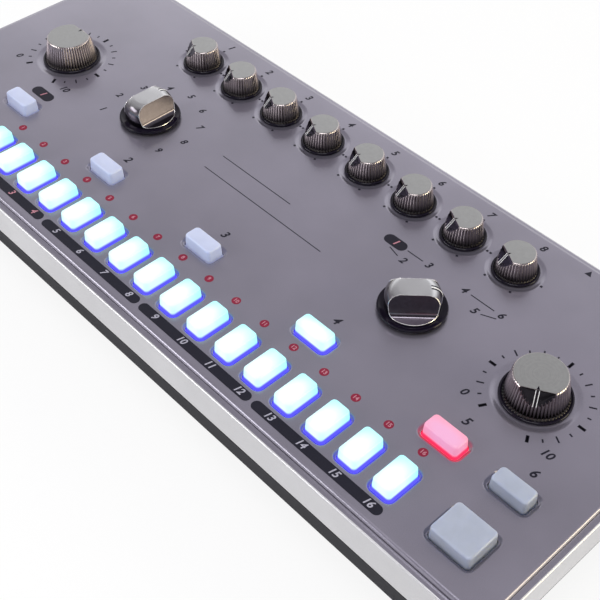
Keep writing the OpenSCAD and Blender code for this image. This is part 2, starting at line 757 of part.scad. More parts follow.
// Bar knob of a rotary switch: a round body with a scoop on each side of the bar.
// The bar lies along Y, with its pointer at +Y, before the knob is turned.
module selector_knob() {
    top_z = panel_z + selector_knob_h;
    grip_z = selector_z + knob_flange_t;
    shelf_z = panel_z + shelf_h;
    bore_top = top_z - spindle_roof;
    body_r = selector_body_d / 2;
    crown = selector_crown;
    foot_w = bar_w + 2 * bar_lean;
    tilt = atan2(bar_lean, top_z - shelf_z);
    scoop_x = foot_w / 2 + scoop_r * (1 / cos(tilt) - tan(tilt));
    difference() {
        union() {
            translate([0, 0, selector_z])
                rotate_extrude() polygon([[0, 0], [selector_flange_d / 2 - 0.3, 0],
                    [selector_flange_d / 2, 0.3], [selector_flange_d / 2, knob_flange_t - 0.2],
                    [selector_flange_d / 2 - 0.2, knob_flange_t], [0, knob_flange_t]]);
            translate([0, 0, grip_z - seam]) rotate_extrude() {
                square([body_r, top_z - grip_z - crown + seam]);
                square([body_r - crown, top_z - grip_z + seam]);
                translate([body_r - crown, top_z - grip_z - crown + seam]) intersection() {
                    circle(r = crown);
                    square(crown);
                }
            }
        }
        for (side = [0, 1]) mirror([side, 0, 0])
            rotate([90, 0, 0]) linear_extrude(2 * selector_body_d, center = true) difference() {
                polygon([[bar_w / 2, top_z + 1], [foot_w / 2, shelf_z], [body_r + 2, shelf_z],
                         [body_r + 2, top_z + 1]]);
                // rounded foot of the bar's side
                difference() {
                    translate([foot_w / 2 - 1, shelf_z - 1])
                        square([scoop_x - foot_w / 2 + 1, scoop_r * (1 - sin(tilt)) + 1]);
                    translate([scoop_x, shelf_z + scoop_r]) circle(r = scoop_r);
                }
            }
        spindle_bore(selector_z, bore_top);
        // pointer slot at the bar's end
        translate([-0.45, body_r - crown - 1, top_z - 0.6]) cube([0.9, crown + 2, 1]);
    }
    spindle(selector_z, bore_top - air);
}

module selector(p, compass) color(knob_colour)
    translate([p.x, p.y, 0]) rotate(-compass) selector_knob();

// ---------- boards and what stands on them ----------

module main_board() color(board_colour)
    difference() {
        translate([left_x + board_margin, front_y + board_margin - 2, board_under_z])
            cube([case_w - 2 * board_margin, case_d - board_margin + 2 - rear_board_gap, board_t]);
        for (p = concat(case_studs, board_studs))
            translate([p.x, p.y, board_under_z - 1]) cylinder(d = screw_d + 6 * fit, h = board_t + 2);
    }
rear_board_gap = rear_wall_t + plate_t + din_depth + 0.5;

module socket_board() color(board_colour)
    difference() {
        translate([socket_board_x0, socket_board_y0, socket_board_z])
            cube([socket_board_x1 - socket_board_x0, socket_board_d - air, board_t]);
        for (p = socket_bosses)
            translate([p.x, p.y, socket_board_z - 1]) cylinder(d = screw_d + 6 * fit, h = board_t + 2);
    }

module board_screws() color(steel_colour) {
    for (p = board_studs) translate([p.x, p.y, board_under_z - screw_head_h])
        screw_up(board_t + stud_thread - 1);
    for (p = socket_bosses) translate([p.x, p.y, socket_z + screw_head_h])
        mirror([0, 0, 1]) screw_up(socket_z - lower_z - 1);
}

module board_components() color(black_colour) {
    chip_w = 12;
    chip_h = 2.2;
    can_d = 8;
    can_h = 9;
    for (x = [step_x(2), step_x(7), step_x(12)])
        translate([x - chip_w / 2, button_row_y + 0.3 * key_pitch - chip_w / 2, board_under_z - chip_h])
            cube([chip_w, chip_w, chip_h]);
    for (x = [step_x(4), step_x(5), step_x(9), step_x(10)])
        translate([x, selector_row_y - 0.6 * key_pitch, board_under_z - can_h])
            cylinder(d = can_d, h = can_h);
}

module ribbon_cable() color([0.6, 0.6, 0.62]) {
    plug = [22, 5, 3.4];
    ribbon_w = 20;
    ribbon_t = 0.9;
    x = (trigger_xs[0] + din_xs[3]) / 2 - plug.x / 2;
    y = socket_board_y0 + 6;
    low_z = socket_z + plug.z;
    high_z = board_under_z - plug.z;
    half = (high_z - low_z) / 2;
    bow = 2.6;
    mid_r = sqrt(half * half + bow * bow);
    for (z = [socket_z, high_z]) translate([x, y - plug.y / 2, z]) cube(plug);
    // the flat cable bows forwards between its two plugs
    translate([x + (plug.x - ribbon_w) / 2, y, (low_z + high_z) / 2]) rotate([90, 0, 90])
        linear_extrude(ribbon_w) intersection() {
            translate([bow, 0]) difference() {
                circle(r = mid_r + ribbon_t / 2);
                circle(r = mid_r - ribbon_t / 2);
            }
            translate([bow - 2 * mid_r, -half - seam]) square([2 * mid_r - bow + 1, 2 * half + 2 * seam]);
        }
}

// Body on the board with a guide bushing that ends in the panel's hole
module spindle_guide(w, d, h, top_z) {
    difference() {
        union() {
            translate([-w / 2, -d / 2, board_z]) cube([w, d, h]);
            translate([0, 0, board_z + h - seam])
                cylinder(d = bushing_d, h = top_z - board_z - h + seam);
        }
        translate([0, 0, board_z + 0.6]) cylinder(d = spindle_d + 2 * spindle_fit, h = panel_z);
    }
}

module potentiometers() color(steel_colour)
    for (p = pot_spots) translate([p.x, p.y, 0]) spindle_guide(pot_w, pot_w, pot_h, knob_z - air);

module rotary_switches() color(black_colour)
    for (p = rotary_spots) translate([p.x, p.y, 0])
        spindle_guide(rotary_w, rotary_w, rotary_h, min(panel_z, selector_z - air));

// ---------- sockets ----------

// Box body against the plate's inner face, with a round nose through the plate
module jack(body, nose_d, nose_out, bore_d, bore_depth) {
    difference() {
        union() {
            translate([-body.x / 2, plate_in_y - body.y, -body.z / 2]) cube(body);
            translate([0, plate_in_y - seam, 0]) bar_y(nose_d, plate_t + nose_out + seam);
        }
        translate([0, plate_in_y - bore_depth, 0])
            bar_y(bore_d, bore_depth + plate_t + nose_out + 1);
    }
}

module audio_jacks() color(black_colour)
    for (x = audio_xs) translate([x, 0, audio_z])
        jack([jack_w, jack_d, jack_h], audio_nose_d, audio_nose_out, audio_bore_d, audio_bore_depth);

module trigger_jacks() color(black_colour)
    for (x = trigger_xs) translate([x, 0, trigger_z])
        jack([mini_w, mini_d, mini_h], trigger_nose_d, trigger_nose_out, trigger_bore_d,
             trigger_bore_depth);

// Ring nut on a threaded nose
module ring_nut(nose_d, across, thick, sides) {
    translate([0, plate_out_y, 0]) difference() {
        rotate([-90, 0, 0]) cylinder(d = across, h = thick, $fn = sides);
        translate([0, -1, 0]) bar_y(nose_d + fit, thick + 2);
    }
}

module jack_nuts() color(steel_colour) {
    for (x = audio_xs) translate([x, 0, audio_z])
        ring_nut(audio_nose_d, audio_nose_d + audio_nut_lap, audio_nut_t, 6);
    for (x = trigger_xs) translate([x, 0, trigger_z])
        ring_nut(trigger_nose_d, trigger_nose_d + trigger_nut_lap, trigger_nut_t, 24);
}

module five_pin_sockets() color(black_colour)
    for (x = din_xs) translate([x, 0, din_z]) difference() {
        union() {
            translate([-din_body_w / 2, plate_in_y - din_depth, -din_body_h / 2])
                cube([din_body_w, din_depth, din_body_h]);
            translate([0, plate_in_y - seam, 0]) bar_y(din_face_d, plate_t + seam);
        }
        translate([0, plate_out_y - din_bore_depth, 0])
            bar_y(din_face_d - 2 * din_wall, din_bore_depth + 1);
    }

// Contact blocks of the five-pin sockets, on the floors of their bores
module five_pin_cores() color(black_colour)
    for (x = din_xs) translate([x, plate_out_y - din_bore_depth, din_z]) difference() {
        bar_y(din_core_d, din_core_h);
        for (a = [-90 : 45 : 90])
            rotate([0, a, 0]) translate([0, 1, din_core_d * 0.36]) bar_y(din_pin_d, din_core_h);
    }

module usb_socket() color(steel_colour) {
    mouth = [8.6, 9, 7.9];
    tongue = [5.6, 8, 3.2];
    translate([usb_x, 0, usb_z]) {
        difference() {
            translate([-usb_w / 2, plate_in_y - usb_d, -usb_h / 2])
                cube([usb_w, usb_d + plate_t, usb_h]);
            translate([-mouth.x / 2, plate_out_y - mouth.y, -mouth.z / 2])
                cube(mouth + [0, 1, 0]);
        }
        translate([-tongue.x / 2, plate_out_y - mouth.y - seam, -tongue.z / 2]) cube(tongue);
    }
}

module power_inlet() color(black_colour) translate([dc_x, 0, dc_z]) {
    difference() {
        union() {
            translate([-dc_body_w / 2, plate_in_y - dc_body_d, -dc_body_h / 2])
                cube([dc_body_w, dc_body_d, dc_body_h]);
            translate([0, plate_in_y - seam, 0]) bar_y(dc_face_d, plate_t + seam);
        }
        translate([0, plate_out_y - dc_bore_depth, 0]) bar_y(dc_bore_d, dc_bore_depth + 1);
    }
    translate([0, plate_out_y - dc_bore_depth - seam, 0]) bar_y(dc_pin_d, dc_bore_depth - 1);
}

// Rocker switch: body through the plate, bezel outside, rocker on two trunnions
rocker_size = [15.6, 10.2];
rocker_y = plate_out_y - 0.9;
trunnion_d = 2;
module power_switch_body() color(black_colour) translate([power_x, 0, power_z])
    difference() {
        union() {
            translate([-power_body_w / 2, plate_in_y - power_body_d, -power_body_h / 2])
                cube([power_body_w, power_body_d + plate_t + seam, power_body_h]);
            translate([-power_body_w / 2 - 1.2, plate_out_y, -power_body_h / 2 - 1.2])
                cube([power_body_w + 2.4, 1.5, power_body_h + 2.4]);
        }
        translate([-rocker_size.x / 2 - 0.9, rocker_y - 3.6, -rocker_size.y / 2 - air])
            cube([rocker_size.x + 1.8, 10, rocker_size.y + 2 * air]);
        translate([0, rocker_y, -power_body_h / 2 + 0.4])
            cylinder(d = trunnion_d + 2 * spindle_fit, h = power_body_h - 0.8);
    }

module power_rocker() color([0.2, 0.2, 0.21])
    translate([power_x, rocker_y, power_z]) rotate(rocker_tilt) {
        rise = rocker_size.x / 2 * tan(rocker_tilt);
        translate([0, 0, -rocker_size.y / 2]) linear_extrude(rocker_size.y)
            polygon([[-rocker_size.x / 2, -1.6], [rocker_size.x / 2, -1.6],
                     [rocker_size.x / 2, 2 + rise], [0, 2], [-rocker_size.x / 2, 2 + rise]]);
        trunnion_l = power_body_h - 0.8 - 2 * fit;
        translate([0, 0, -trunnion_l / 2]) cylinder(d = trunnion_d, h = trunnion_l);
    }

// ---------- the pieces ----------

control_panel();
upper_frame();
lower_shell();
socket_plate();
rubber_feet();
case_screws();
main_board();
socket_board();
board_screws();
board_components();
ribbon_cable();
key_switches();
key_lamps();
potentiometers();
rotary_switches();
audio_jacks();
trigger_jacks();
jack_nuts();
five_pin_sockets();
five_pin_cores();
usb_socket();
power_inlet();
power_switch_body();
power_rocker();
for (k = [0 : step_count - 1]) step_key(k);
for (k = [0 : button_count - 1]) function_button(k);
start_key();
tap_key();
for (k = [0 : level_count - 1]) level_knob(k);
dial_knob([tempo_x, dial_row_y], 0);  // tempo_knob
dial_knob([volume_x, dial_row_y], pot_sweep / 2);  // volume_knob
selector([instrument_x, selector_row_y], 0);  // instrument_selector
selector([mode_x, selector_row_y], 45);  // mode_selector
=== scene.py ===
"""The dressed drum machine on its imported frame. Metres; +X right, +Y to the rear, +Z up.

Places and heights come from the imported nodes. Meshes are built in millimetres and
scaled once, in finish_piece().
"""
import json
import math
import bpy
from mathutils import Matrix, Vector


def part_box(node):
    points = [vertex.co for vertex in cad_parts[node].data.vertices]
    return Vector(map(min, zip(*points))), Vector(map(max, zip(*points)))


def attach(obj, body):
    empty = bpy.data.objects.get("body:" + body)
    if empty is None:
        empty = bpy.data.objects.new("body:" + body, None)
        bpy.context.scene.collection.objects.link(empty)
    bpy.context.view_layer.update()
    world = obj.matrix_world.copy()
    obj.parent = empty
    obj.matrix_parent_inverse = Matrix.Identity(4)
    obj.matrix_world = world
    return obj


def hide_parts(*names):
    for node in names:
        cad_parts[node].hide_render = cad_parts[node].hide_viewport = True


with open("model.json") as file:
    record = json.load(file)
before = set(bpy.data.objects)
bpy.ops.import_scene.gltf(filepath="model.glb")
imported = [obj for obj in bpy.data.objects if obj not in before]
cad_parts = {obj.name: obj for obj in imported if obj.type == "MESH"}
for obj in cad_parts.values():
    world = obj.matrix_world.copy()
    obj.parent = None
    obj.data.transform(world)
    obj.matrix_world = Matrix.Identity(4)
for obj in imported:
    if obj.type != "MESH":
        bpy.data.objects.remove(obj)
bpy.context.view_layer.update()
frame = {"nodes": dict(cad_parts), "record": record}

from types import SimpleNamespace

import bmesh
import bpy
from mathutils import Matrix, Vector

MM = 0.001
TAU = 2 * math.pi
scene = bpy.context.scene


# ---------------------------------------------------------------- sizes, in mm
def measure(node):
    """Middle, width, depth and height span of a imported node."""
    low, high = (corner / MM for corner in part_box(node))
    mid = (low + high) / 2
    return SimpleNamespace(x=mid.x, y=mid.y, w=high.x - low.x, d=high.y - low.y, low=low.z, high=high.z)


STEP_NODES = [f"step_key_{k:02d}" for k in range(1, 17)]
BUTTON_NODES = [f"function_button_{k}" for k in range(1, 7)]
LEVEL_NODES = [f"level_knob_{k}" for k in range(1, 9)]
DIAL_NODES = ["tempo_knob", "volume_knob"]
STEPS = [measure(n) for n in STEP_NODES]
BUTTONS = [measure(n) for n in BUTTON_NODES]
LEVELS = [measure(n) for n in LEVEL_NODES]
TEMPO, VOLUME = (measure(n) for n in DIAL_NODES)
START, TAP = measure("start_key"), measure("tap_key")
INSTRUMENT, MODE = measure("instrument_selector"), measure("mode_selector")
SHEET, CASE, PLATE = measure("control_panel"), measure("upper_frame"), measure("socket_plate")

PITCH = STEPS[1].x - STEPS[0].x
PANEL_Z = SHEET.high            # top of the control panel
PANEL_T = 2.0                   # thickness of its sheet
UNDER_Z = PANEL_Z - PANEL_T
RIM_Z, PART_Z = CASE.high, CASE.low
KEY_TOP = STEPS[0].high
KEY_GAP = 0.5                   # between a key and its opening
FLANGE_LAP, FLANGE_T = 0.7, 1.1  # a key's flange: reach under the panel, thickness
FLANGE_GAP = 0.3                # between a released key's flange and the panel
FLANGE_Z = UNDER_Z - FLANGE_GAP - FLANGE_T
BUSHING_R = 3.9                 # hole for a potentiometer's bushing
WELL_GAP, DISH_DEPTH = 0.9, 0.4  # dish round a knob: room beside the flange, depth
KNOB_Z = PANEL_Z - 0.2          # underside of the fluted knobs
SELECTOR_Z = PANEL_Z + 1.0      # underside of the selectors
DISH_T = 0.75                   # thickness of a knob's flange under its grip
BAR_TOP = MODE.high             # top of the selectors' bars
SPINDLE_R = 3.0
STUD_R = 3.0


# ---------------------------------------------------------------- node maths
class Value:
    """An output socket with Python's operators, so that node maths reads as a formula."""

    def __init__(self, graph, socket):
        self.graph, self.socket = graph, socket

    def math(self, operation, *others):
        return self.graph.node("ShaderNodeMath", {"operation": operation}, dict(enumerate((self, *others))))

    def __add__(self, other):
        return self.math("ADD", other)

    def __sub__(self, other):
        return self.math("SUBTRACT", other)

    def __rsub__(self, other):
        return self.graph.node("ShaderNodeMath", {"operation": "SUBTRACT"}, {0: other, 1: self})

    def __mul__(self, other):
        return self.math("MULTIPLY", other)

    def __truediv__(self, other):
        return self.math("DIVIDE", other)

    def __neg__(self):
        return self * -1

    def __abs__(self):
        return self.math("ABSOLUTE")

    __radd__ = __add__
    __rmul__ = __mul__

    def root(self):
        return self.math("SQRT")

    def sine(self):
        return self.math("SINE")

    def cosine(self):
        return self.math("COSINE")

    def at_most(self, other):
        return self.math("MINIMUM", other)

    def at_least(self, other):
        return self.math("MAXIMUM", other)

    def ease(self, low, high):
        """0 up to low, 1 from high on, smooth between."""
        return self.graph.node("ShaderNodeMapRange", {"interpolation_type": "SMOOTHSTEP"},
                               {0: self, 1: low, 2: high})

    def split(self):
        parts = self.graph.raw("ShaderNodeSeparateXYZ", {}, {0: self})
        return [Value(self.graph, part) for part in parts.outputs]


class Graph:
    """A node tree, written as expressions."""

    def __init__(self, tree):
        self.tree = tree

    def raw(self, kind, settings, inputs):
        node = self.tree.nodes.new(kind)
        for name, value in settings.items():
            setattr(node, name, value)
        for key, value in inputs.items():
            self.feed(node.inputs[key], value)
        return node

    def node(self, kind, settings=None, inputs=None, out=0):
        """The output of a new node, by its place or name."""
        return Value(self, self.raw(kind, settings or {}, inputs or {}).outputs[out])

    def feed(self, socket, value):
        if isinstance(value, Value):
            self.tree.links.new(value.socket, socket)
        else:
            socket.default_value = value

    def vector(self, x, y, z):
        return self.node("ShaderNodeCombineXYZ", {}, {0: x, 1: y, 2: z})

    def mix(self, share, first, second):
        """Colour between first and second."""
        colours = [c if isinstance(c, Value) else (*c, 1) for c in (first, second)]
        return self.node("ShaderNodeMix", {"data_type": "RGBA"}, {0: share, 6: colours[0], 7: colours[1]}, 2)


class Finish(Graph):
    """A Principled material built from expressions."""

    def __init__(self, name, colour, **sockets):
        self.colour = colour
        self.material = bpy.data.materials.new(name)
        self.material.use_nodes = True
        self.material.diffuse_color = (*colour, 1)
        super().__init__(self.material.node_tree)
        self.shader = self.tree.nodes["Principled BSDF"]
        self.set(Base_Color=(*colour, 1), **sockets)

    def set(self, **sockets):
        for name, value in sockets.items():
            self.feed(self.shader.inputs[name.replace("_", " ")], value)

    def mottle(self, mask, low, high):
        """Base colour that varies between two shares of the finish's own colour."""
        self.set(Base_Color=self.mix(mask.ease(0.3, 0.7), shade(self.colour, low), shade(self.colour, high)))

    def coords(self, kind="Object"):
        return self.node("ShaderNodeTexCoord", {}, {}, kind)

    def noise(self, scale, detail=3.0, rough=0.55, stretch=(1, 1, 1), where=None):
        place = self.node("ShaderNodeVectorMath", {"operation": "MULTIPLY"},
                          {0: where or self.coords(), 1: stretch})
        return self.node("ShaderNodeTexNoise", {},
                         {"Vector": place, "Scale": scale, "Detail": detail, "Roughness": rough})

    def bump(self, height, strength, distance):
        self.set(Normal=self.node("ShaderNodeBump", {},
                                  {"Height": height, "Strength": strength, "Distance": distance}))


def shade(colour, share):
    """A colour times a share, kept in range."""
    return tuple(min(1.0, c * share) for c in colour)


# ---------------------------------------------------------------- finishes
def panel_paint():
    """Grey metallic lacquer: fine flake, faint clouds and a glossy clear coat."""
    colour = (0.235, 0.220, 0.275)
    f = Finish("panel_paint", colour, Metallic=0.65, Coat_Weight=0.8, Coat_Roughness=0.08)
    flake = f.noise(5200, 2.0, 0.7)
    cloud = f.noise(26, 4.0)
    f.mottle(flake * 0.6 + cloud * 0.4, 0.84, 1.16)
    f.set(Roughness=0.24 + flake * 0.14)
    f.bump(flake, 0.12, 0.00003)
    return f.material


def silver_paint():
    """Satin silver lacquer of the frame."""
    colour = (0.60, 0.595, 0.615)
    f = Finish("silver_paint", colour, Metallic=0.8, Coat_Weight=0.3, Coat_Roughness=0.15)
    flake = f.noise(6000, 2.0, 0.7)
    cloud = f.noise(30, 4.0)
    f.mottle(flake * 0.5 + cloud * 0.5, 0.92, 1.08)
    f.set(Roughness=0.32 + flake * 0.12)
    f.bump(flake, 0.08, 0.00003)
    return f.material


def moulded(name, colour, rough=0.5, grain=2600.0, depth=0.00006, sheen=0.5):
    """Moulded plastic: fine spark-eroded grain and a faint mottling."""
    f = Finish(name, colour, Specular_IOR_Level=sheen)
    fine = f.noise(grain, 3.0, 0.6)
    cloud = f.noise(55, 4.0)
    f.mottle(fine * 0.4 + cloud * 0.6, 0.86, 1.12)
    f.set(Roughness=rough - 0.06 + fine * 0.12)
    f.bump(fine, 0.35, depth)
    return f.material


def gloss_black():
    """Polished black plastic with the odd hairline."""
    f = Finish("gloss_black", (0.006, 0.004, 0.011), Specular_IOR_Level=0.14, Coat_Weight=0.14,
               Coat_Roughness=0.03)
    wear = f.noise(420, 5.0, 0.7)
    f.set(Roughness=0.07 + wear.ease(0.55, 0.8) * 0.12)
    return f.material


def plated(name, colour, rough, grain, stretch=(1, 1, 1), spread=0.06, metal=1.0):
    """Plated or machined metal with faint working marks."""
    f = Finish(name, colour, Metallic=metal)
    marks = f.noise(grain, 3.0, 0.6, stretch)
    f.mottle(marks, 0.9, 1.1)
    f.set(Roughness=rough - spread / 2 + marks * spread)
    f.bump(marks, 0.05, 0.00002)
    return f.material


def smoked_grip():
    """Smoked chrome with painted shade that darkens it towards the grip's foot."""
    colour = (0.50, 0.44, 0.44)
    f = Finish("smoked_chrome", colour, Metallic=1.0)
    marks = f.noise(1200, 3.0, 0.6, (1, 1, 0.2))
    # painted shade: the colour falls towards the foot
    rise = f.coords().split()[2].ease((KNOB_Z + 0.9) * MM, (KNOB_Z + 7.2) * MM)
    f.set(Base_Color=f.mix((rise * 0.95 + marks * 0.08).at_most(1.0), shade(colour, 0.03), colour))
    f.set(Roughness=0.12 + marks * 0.06)
    return f.material


def bar_metal(dark, pale):
    """Polished bar, dark on its sides, with a pale satin top that is a painted reflection."""
    f = Finish("selector_top", pale, Metallic=1.0)
    marks = f.noise(180, 3.0, 0.6)
    # painted reflection: paler towards the top
    rise = f.coords().split()[2].ease((BAR_TOP - 1.5) * MM, (BAR_TOP - 0.02) * MM)
    f.set(Base_Color=f.mix((rise * 0.94 + marks * 0.06).at_most(1.0), dark, pale))
    f.set(Roughness=0.17 + rise * 0.07 + marks * 0.03)
    return f.material


def spun_disc():
    """Satin knob top with fine turned rings about its middle."""
    colour = (0.34, 0.34, 0.336)
    f = Finish("spun_disc", colour, Metallic=1.0)
    u, v, _ = f.coords("UV").split()
    radius = (u * u + v * v).root()
    rings = f.noise(1.0, 2.0, 0.6, where=f.vector(radius * 34, 0.0, 0.0))
    marks = f.noise(900, 2.0, 0.6)
    f.mottle(rings * 0.7 + marks * 0.3, 0.9, 1.1)
    f.set(Roughness=0.26 + rings * 0.1)
    f.bump(rings, 0.12, 0.00003)
    return f.material


def lit_cap(name, heart, edge, skirt):
    """Milky cap lit from inside: a hot heart, a cooler rim, and a saturated skirt in its opening."""
    body = (0.2, 0.22, 0.25)
    f = Finish(name, body, Roughness=0.35, Emission_Strength=2.0)
    u, v, _ = f.coords("UV").split()
    z = f.coords().split()[2]
    cloud = f.noise(300, 2.0)
    right, back = u - 0.1, v + 0.35
    spread = (right * right * 0.4 + back * back * 0.5).root() + cloud * 0.2
    top = f.mix(spread.ease(0.35, 1.20), heart, edge)
    rise = z.ease((PANEL_Z - 0.5) * MM, (PANEL_Z + 0.7) * MM)
    f.set(Emission_Color=f.mix(rise, skirt, top))
    f.set(Base_Color=f.mix(rise, shade(skirt, 0.15), body))
    return f.material


def milky(name, colour, glow=0.0):
    """Unlit translucent cap; glow is a painted glow that stands in for light from the lamps beside it."""
    f = Finish(name, colour, Subsurface_Weight=0.6, Subsurface_Radius=(0.6, 0.7, 1.0),
               Subsurface_Scale=0.002, Coat_Weight=0.25, Coat_Roughness=0.15,
               Emission_Color=(0.59, 0.63, 1.0, 1), Emission_Strength=glow)
    cloud = f.noise(240, 3.0)
    f.mottle(cloud, 0.94, 1.0)
    f.set(Roughness=0.30 + cloud * 0.1)
    return f.material


def ink(name, colour):
    """Screen-printed ink with a faintly uneven body."""
    f = Finish(name, colour, Specular_IOR_Level=0.2)
    grain = f.noise(3500, 2.0)
    f.mottle(grain, 0.85, 1.1)
    f.set(Roughness=0.4 + grain * 0.1)
    return f.material


def solder_mask():
    """Green circuit board with darker tracks."""
    f = Finish("solder_mask", (0.03, 0.19, 0.10), Roughness=0.35)
    x, y, _ = f.coords().split()
    tracks = ((x * 900).sine() * (y * 1300).sine()).ease(0.15, 0.25)
    f.set(Base_Color=f.mix(tracks, (0.02, 0.15, 0.08), (0.05, 0.25, 0.13)))
    f.bump(tracks, 0.2, 0.00004)
    return f.material


PAINT = panel_paint()
SILVER = silver_paint()
CHARCOAL = moulded("charcoal_plastic", (0.024, 0.0235, 0.029), 0.65, sheen=0.05)
BLACK = moulded("black_plastic", (0.012, 0.012, 0.014), 0.5, sheen=0.3)
SOCKET = moulded("socket_plastic", (0.006, 0.006, 0.007), 0.24, 900.0, 0.00002)
# black that paints shade into the parting groove; the five-pin cores take it too
SHADOW = moulded("groove_black", (0.016, 0.015, 0.018), 0.6)
RUBBER = moulded("foot_rubber", (0.015, 0.015, 0.015), 0.8, 1800.0, 0.0001)
GLOSS = gloss_black()
SMOKE_PAINTED_FOOT_SHADE = smoked_grip()
DARK_CHROME = (0.105, 0.094, 0.112)
MIRROR = plated("selector_chrome", DARK_CHROME, 0.16, 900.0, (1, 1, 1), 0.03)
PILLOW_PAINTED_REFLECTION = bar_metal(DARK_CHROME, (0.52, 0.52, 0.53))
DISC = spun_disc()
# darker copies of the knobs' chrome for the facets: painted shade
FACET_PAINTED_SHADE = plated("facet_chrome", (0.046, 0.038, 0.062), 0.20, 900.0)
DIAL_FACET_PAINTED_SHADE = plated("dial_facet_chrome", (0.020, 0.018, 0.022), 0.20, 900.0)
# near-white metal for the pointers' arrises and ridges: painted highlight
BRIGHT_PAINTED_HIGHLIGHT = plated("bright_edge", (0.94, 0.92, 0.91), 0.25, 900.0, metal=0.25)
# pale metal for the beads round the selectors' scoops: painted highlight
EDGE_PAINTED_HIGHLIGHT = plated("polished_edge", (0.78, 0.76, 0.76), 0.26, 900.0, metal=0.85)
RING = plated("chamfer_ring", (0.34, 0.31, 0.30), 0.16, 900.0)
STEEL = plated("steel", (0.55, 0.55, 0.56), 0.3, 1500.0, (1, 1, 0.1), 0.12)
NICKEL = plated("nickel", (0.56, 0.55, 0.53), 0.16, 1500.0, (0.2, 1, 1), 0.1)
BOARD = solder_mask()
RIBBON = moulded("ribbon_jacket", (0.40, 0.40, 0.42), 0.5)
LAMP = milky("lamp_glass", (0.85, 0.88, 0.95))
MILK = (0.41, 0.45, 0.55)
CAP = milky("milky_cap", MILK)
# caps beside the lit keys: painted glow
NEAR_CAP_PAINTED_GLOW = milky("milky_cap_near_lamps", MILK, 0.28)
LIT = lit_cap("lit_cap", (0.42, 0.47, 0.46), (0.15, 0.44, 0.46), (0.060, 0.052, 1.0))
RED = lit_cap("red_cap", (0.36, 0.115, 0.225), (0.40, 0.08, 0.14), (0.85, 0.018, 0.06))
INK_BLACK = ink("ink_black", (0.010, 0.009, 0.019))
INK_PALE = ink("ink_pale", (0.40, 0.385, 0.46))
INK_RED = ink("ink_crimson", (0.24, 0.012, 0.04))
INK_ROSE = ink("ink_rose", (0.50, 0.22, 0.27))

CAD_FINISHES = {
    CHARCOAL: ["lower_shell"],
    BLACK: ["socket_plate", "board_components", "key_switches", "rotary_switches"],
    SOCKET: ["audio_jacks", "trigger_jacks", "five_pin_sockets", "power_inlet", "power_switch_body",
             "power_rocker"],
    RUBBER: ["rubber_feet"],
    STEEL: ["case_screws", "board_screws", "potentiometers", "usb_socket"],
    NICKEL: ["jack_nuts"],
    BOARD: ["main_board", "socket_board"],
    RIBBON: ["ribbon_cable"],
    LAMP: ["key_lamps"],
    SHADOW: ["five_pin_cores"],
}
for finish, nodes in CAD_FINISHES.items():
    for node in nodes:
        piece = frame["nodes"][node]
        if not piece.material_slots:
            piece.data.materials.append(finish)
        for place in piece.material_slots:
            place.material = finish


# ---------------------------------------------------------------- mesh building
def level_face(face):
    """True for a face that lies level."""
    return abs(face.normal.z) > 0.9999


def finish_piece(bm, name, finishes, body, replaces=(), smooth=35.0, crisp_tops=False):
    bmesh.ops.scale(bm, vec=(MM, MM, MM), verts=bm.verts)
    bmesh.ops.recalc_face_normals(bm, faces=bm.faces)
    limit = math.radians(smooth)
    for face in bm.faces:
        face.smooth = True
    for edge in bm.edges:
        pair = edge.link_faces
        edge.smooth = len(pair) == 2 and edge.calc_face_angle(0) < limit
        if crisp_tops and len(pair) == 2 and level_face(pair[0]) != level_face(pair[1]):
            edge.smooth = False
    mesh = bpy.data.meshes.new(name)
    bm.to_mesh(mesh)
    bm.free()
    for finish in finishes:
        mesh.materials.append(finish)
    piece = bpy.data.objects.new(name, mesh)
    scene.collection.objects.link(piece)
    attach(piece, body)
    if replaces:
        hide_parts(*replaces)


def skin(bm, rings, finish=0, uv=None, closed=False):
    """Skin through rings of points: capped at both ends, or closed into a loop.
    finish is one slot or a list with one for each band."""
    rows = [[bm.verts.new(p) for p in ring] for ring in rings]
    bands = list(zip(rows, rows[1:])) + ([(rows[-1], rows[0])] if closed else [])
    n = len(rows[0])
    faces = []
    for k, (low, high) in enumerate(bands):
        for i in range(n):
            j = (i + 1) % n
            face = bm.faces.new((low[i], low[j], high[j], high[i]))
            face.material_index = finish[k] if isinstance(finish, list) else finish
            faces.append(face)
    if not closed:
        for row in (rows[0][::-1], rows[-1]):
            face = bm.faces.new(row)
            face.material_index = finish[0] if isinstance(finish, list) else finish
            faces.append(face)
    if uv:
        layer = bm.loops.layers.uv.verify()
        for face in faces:
            for loop in face.loops:
                loop[layer].uv = uv(loop.vert.co)


def rounded_ring(x, y, w, d, r, z, n=6):
    """Rounded rectangle, counter-clockwise, with n steps in each corner."""
    r = max(min(r, w / 2 - 0.01, d / 2 - 0.01), 0.02)
    points = []
    for k, (sx, sy) in enumerate(((1, 1), (-1, 1), (-1, -1), (1, -1))):
        for i in range(n + 1):
            a = (k + i / n) * math.pi / 2
            points.append((x + sx * (w / 2 - r) + r * math.cos(a), y + sy * (d / 2 - r) + r * math.sin(a), z))
    return points


def circle_ring(x, y, r, z, n):
    """Circle of n points, counter-clockwise."""
    return [(x + r * math.cos(TAU * i / n), y + r * math.sin(TAU * i / n), z) for i in range(n)]


def turned(bm, x, y, profile, finish=0, n=64):
    """Solid of revolution about an upright axis, from a list of (radius, z)."""
    skin(bm, [circle_ring(x, y, max(r, 0.01), z, n) for r, z in profile], finish)


def prism(bm, outline, z0, z1, finish=0):
    """Upright prism over a flat outline of (x, y)."""
    skin(bm, [[(x, y, z) for x, y in outline] for z in (z0, z1)], finish)


def quarter(steps):
    """Angles from 0 to a right angle."""
    return [i / steps * math.pi / 2 for i in range(steps + 1)]


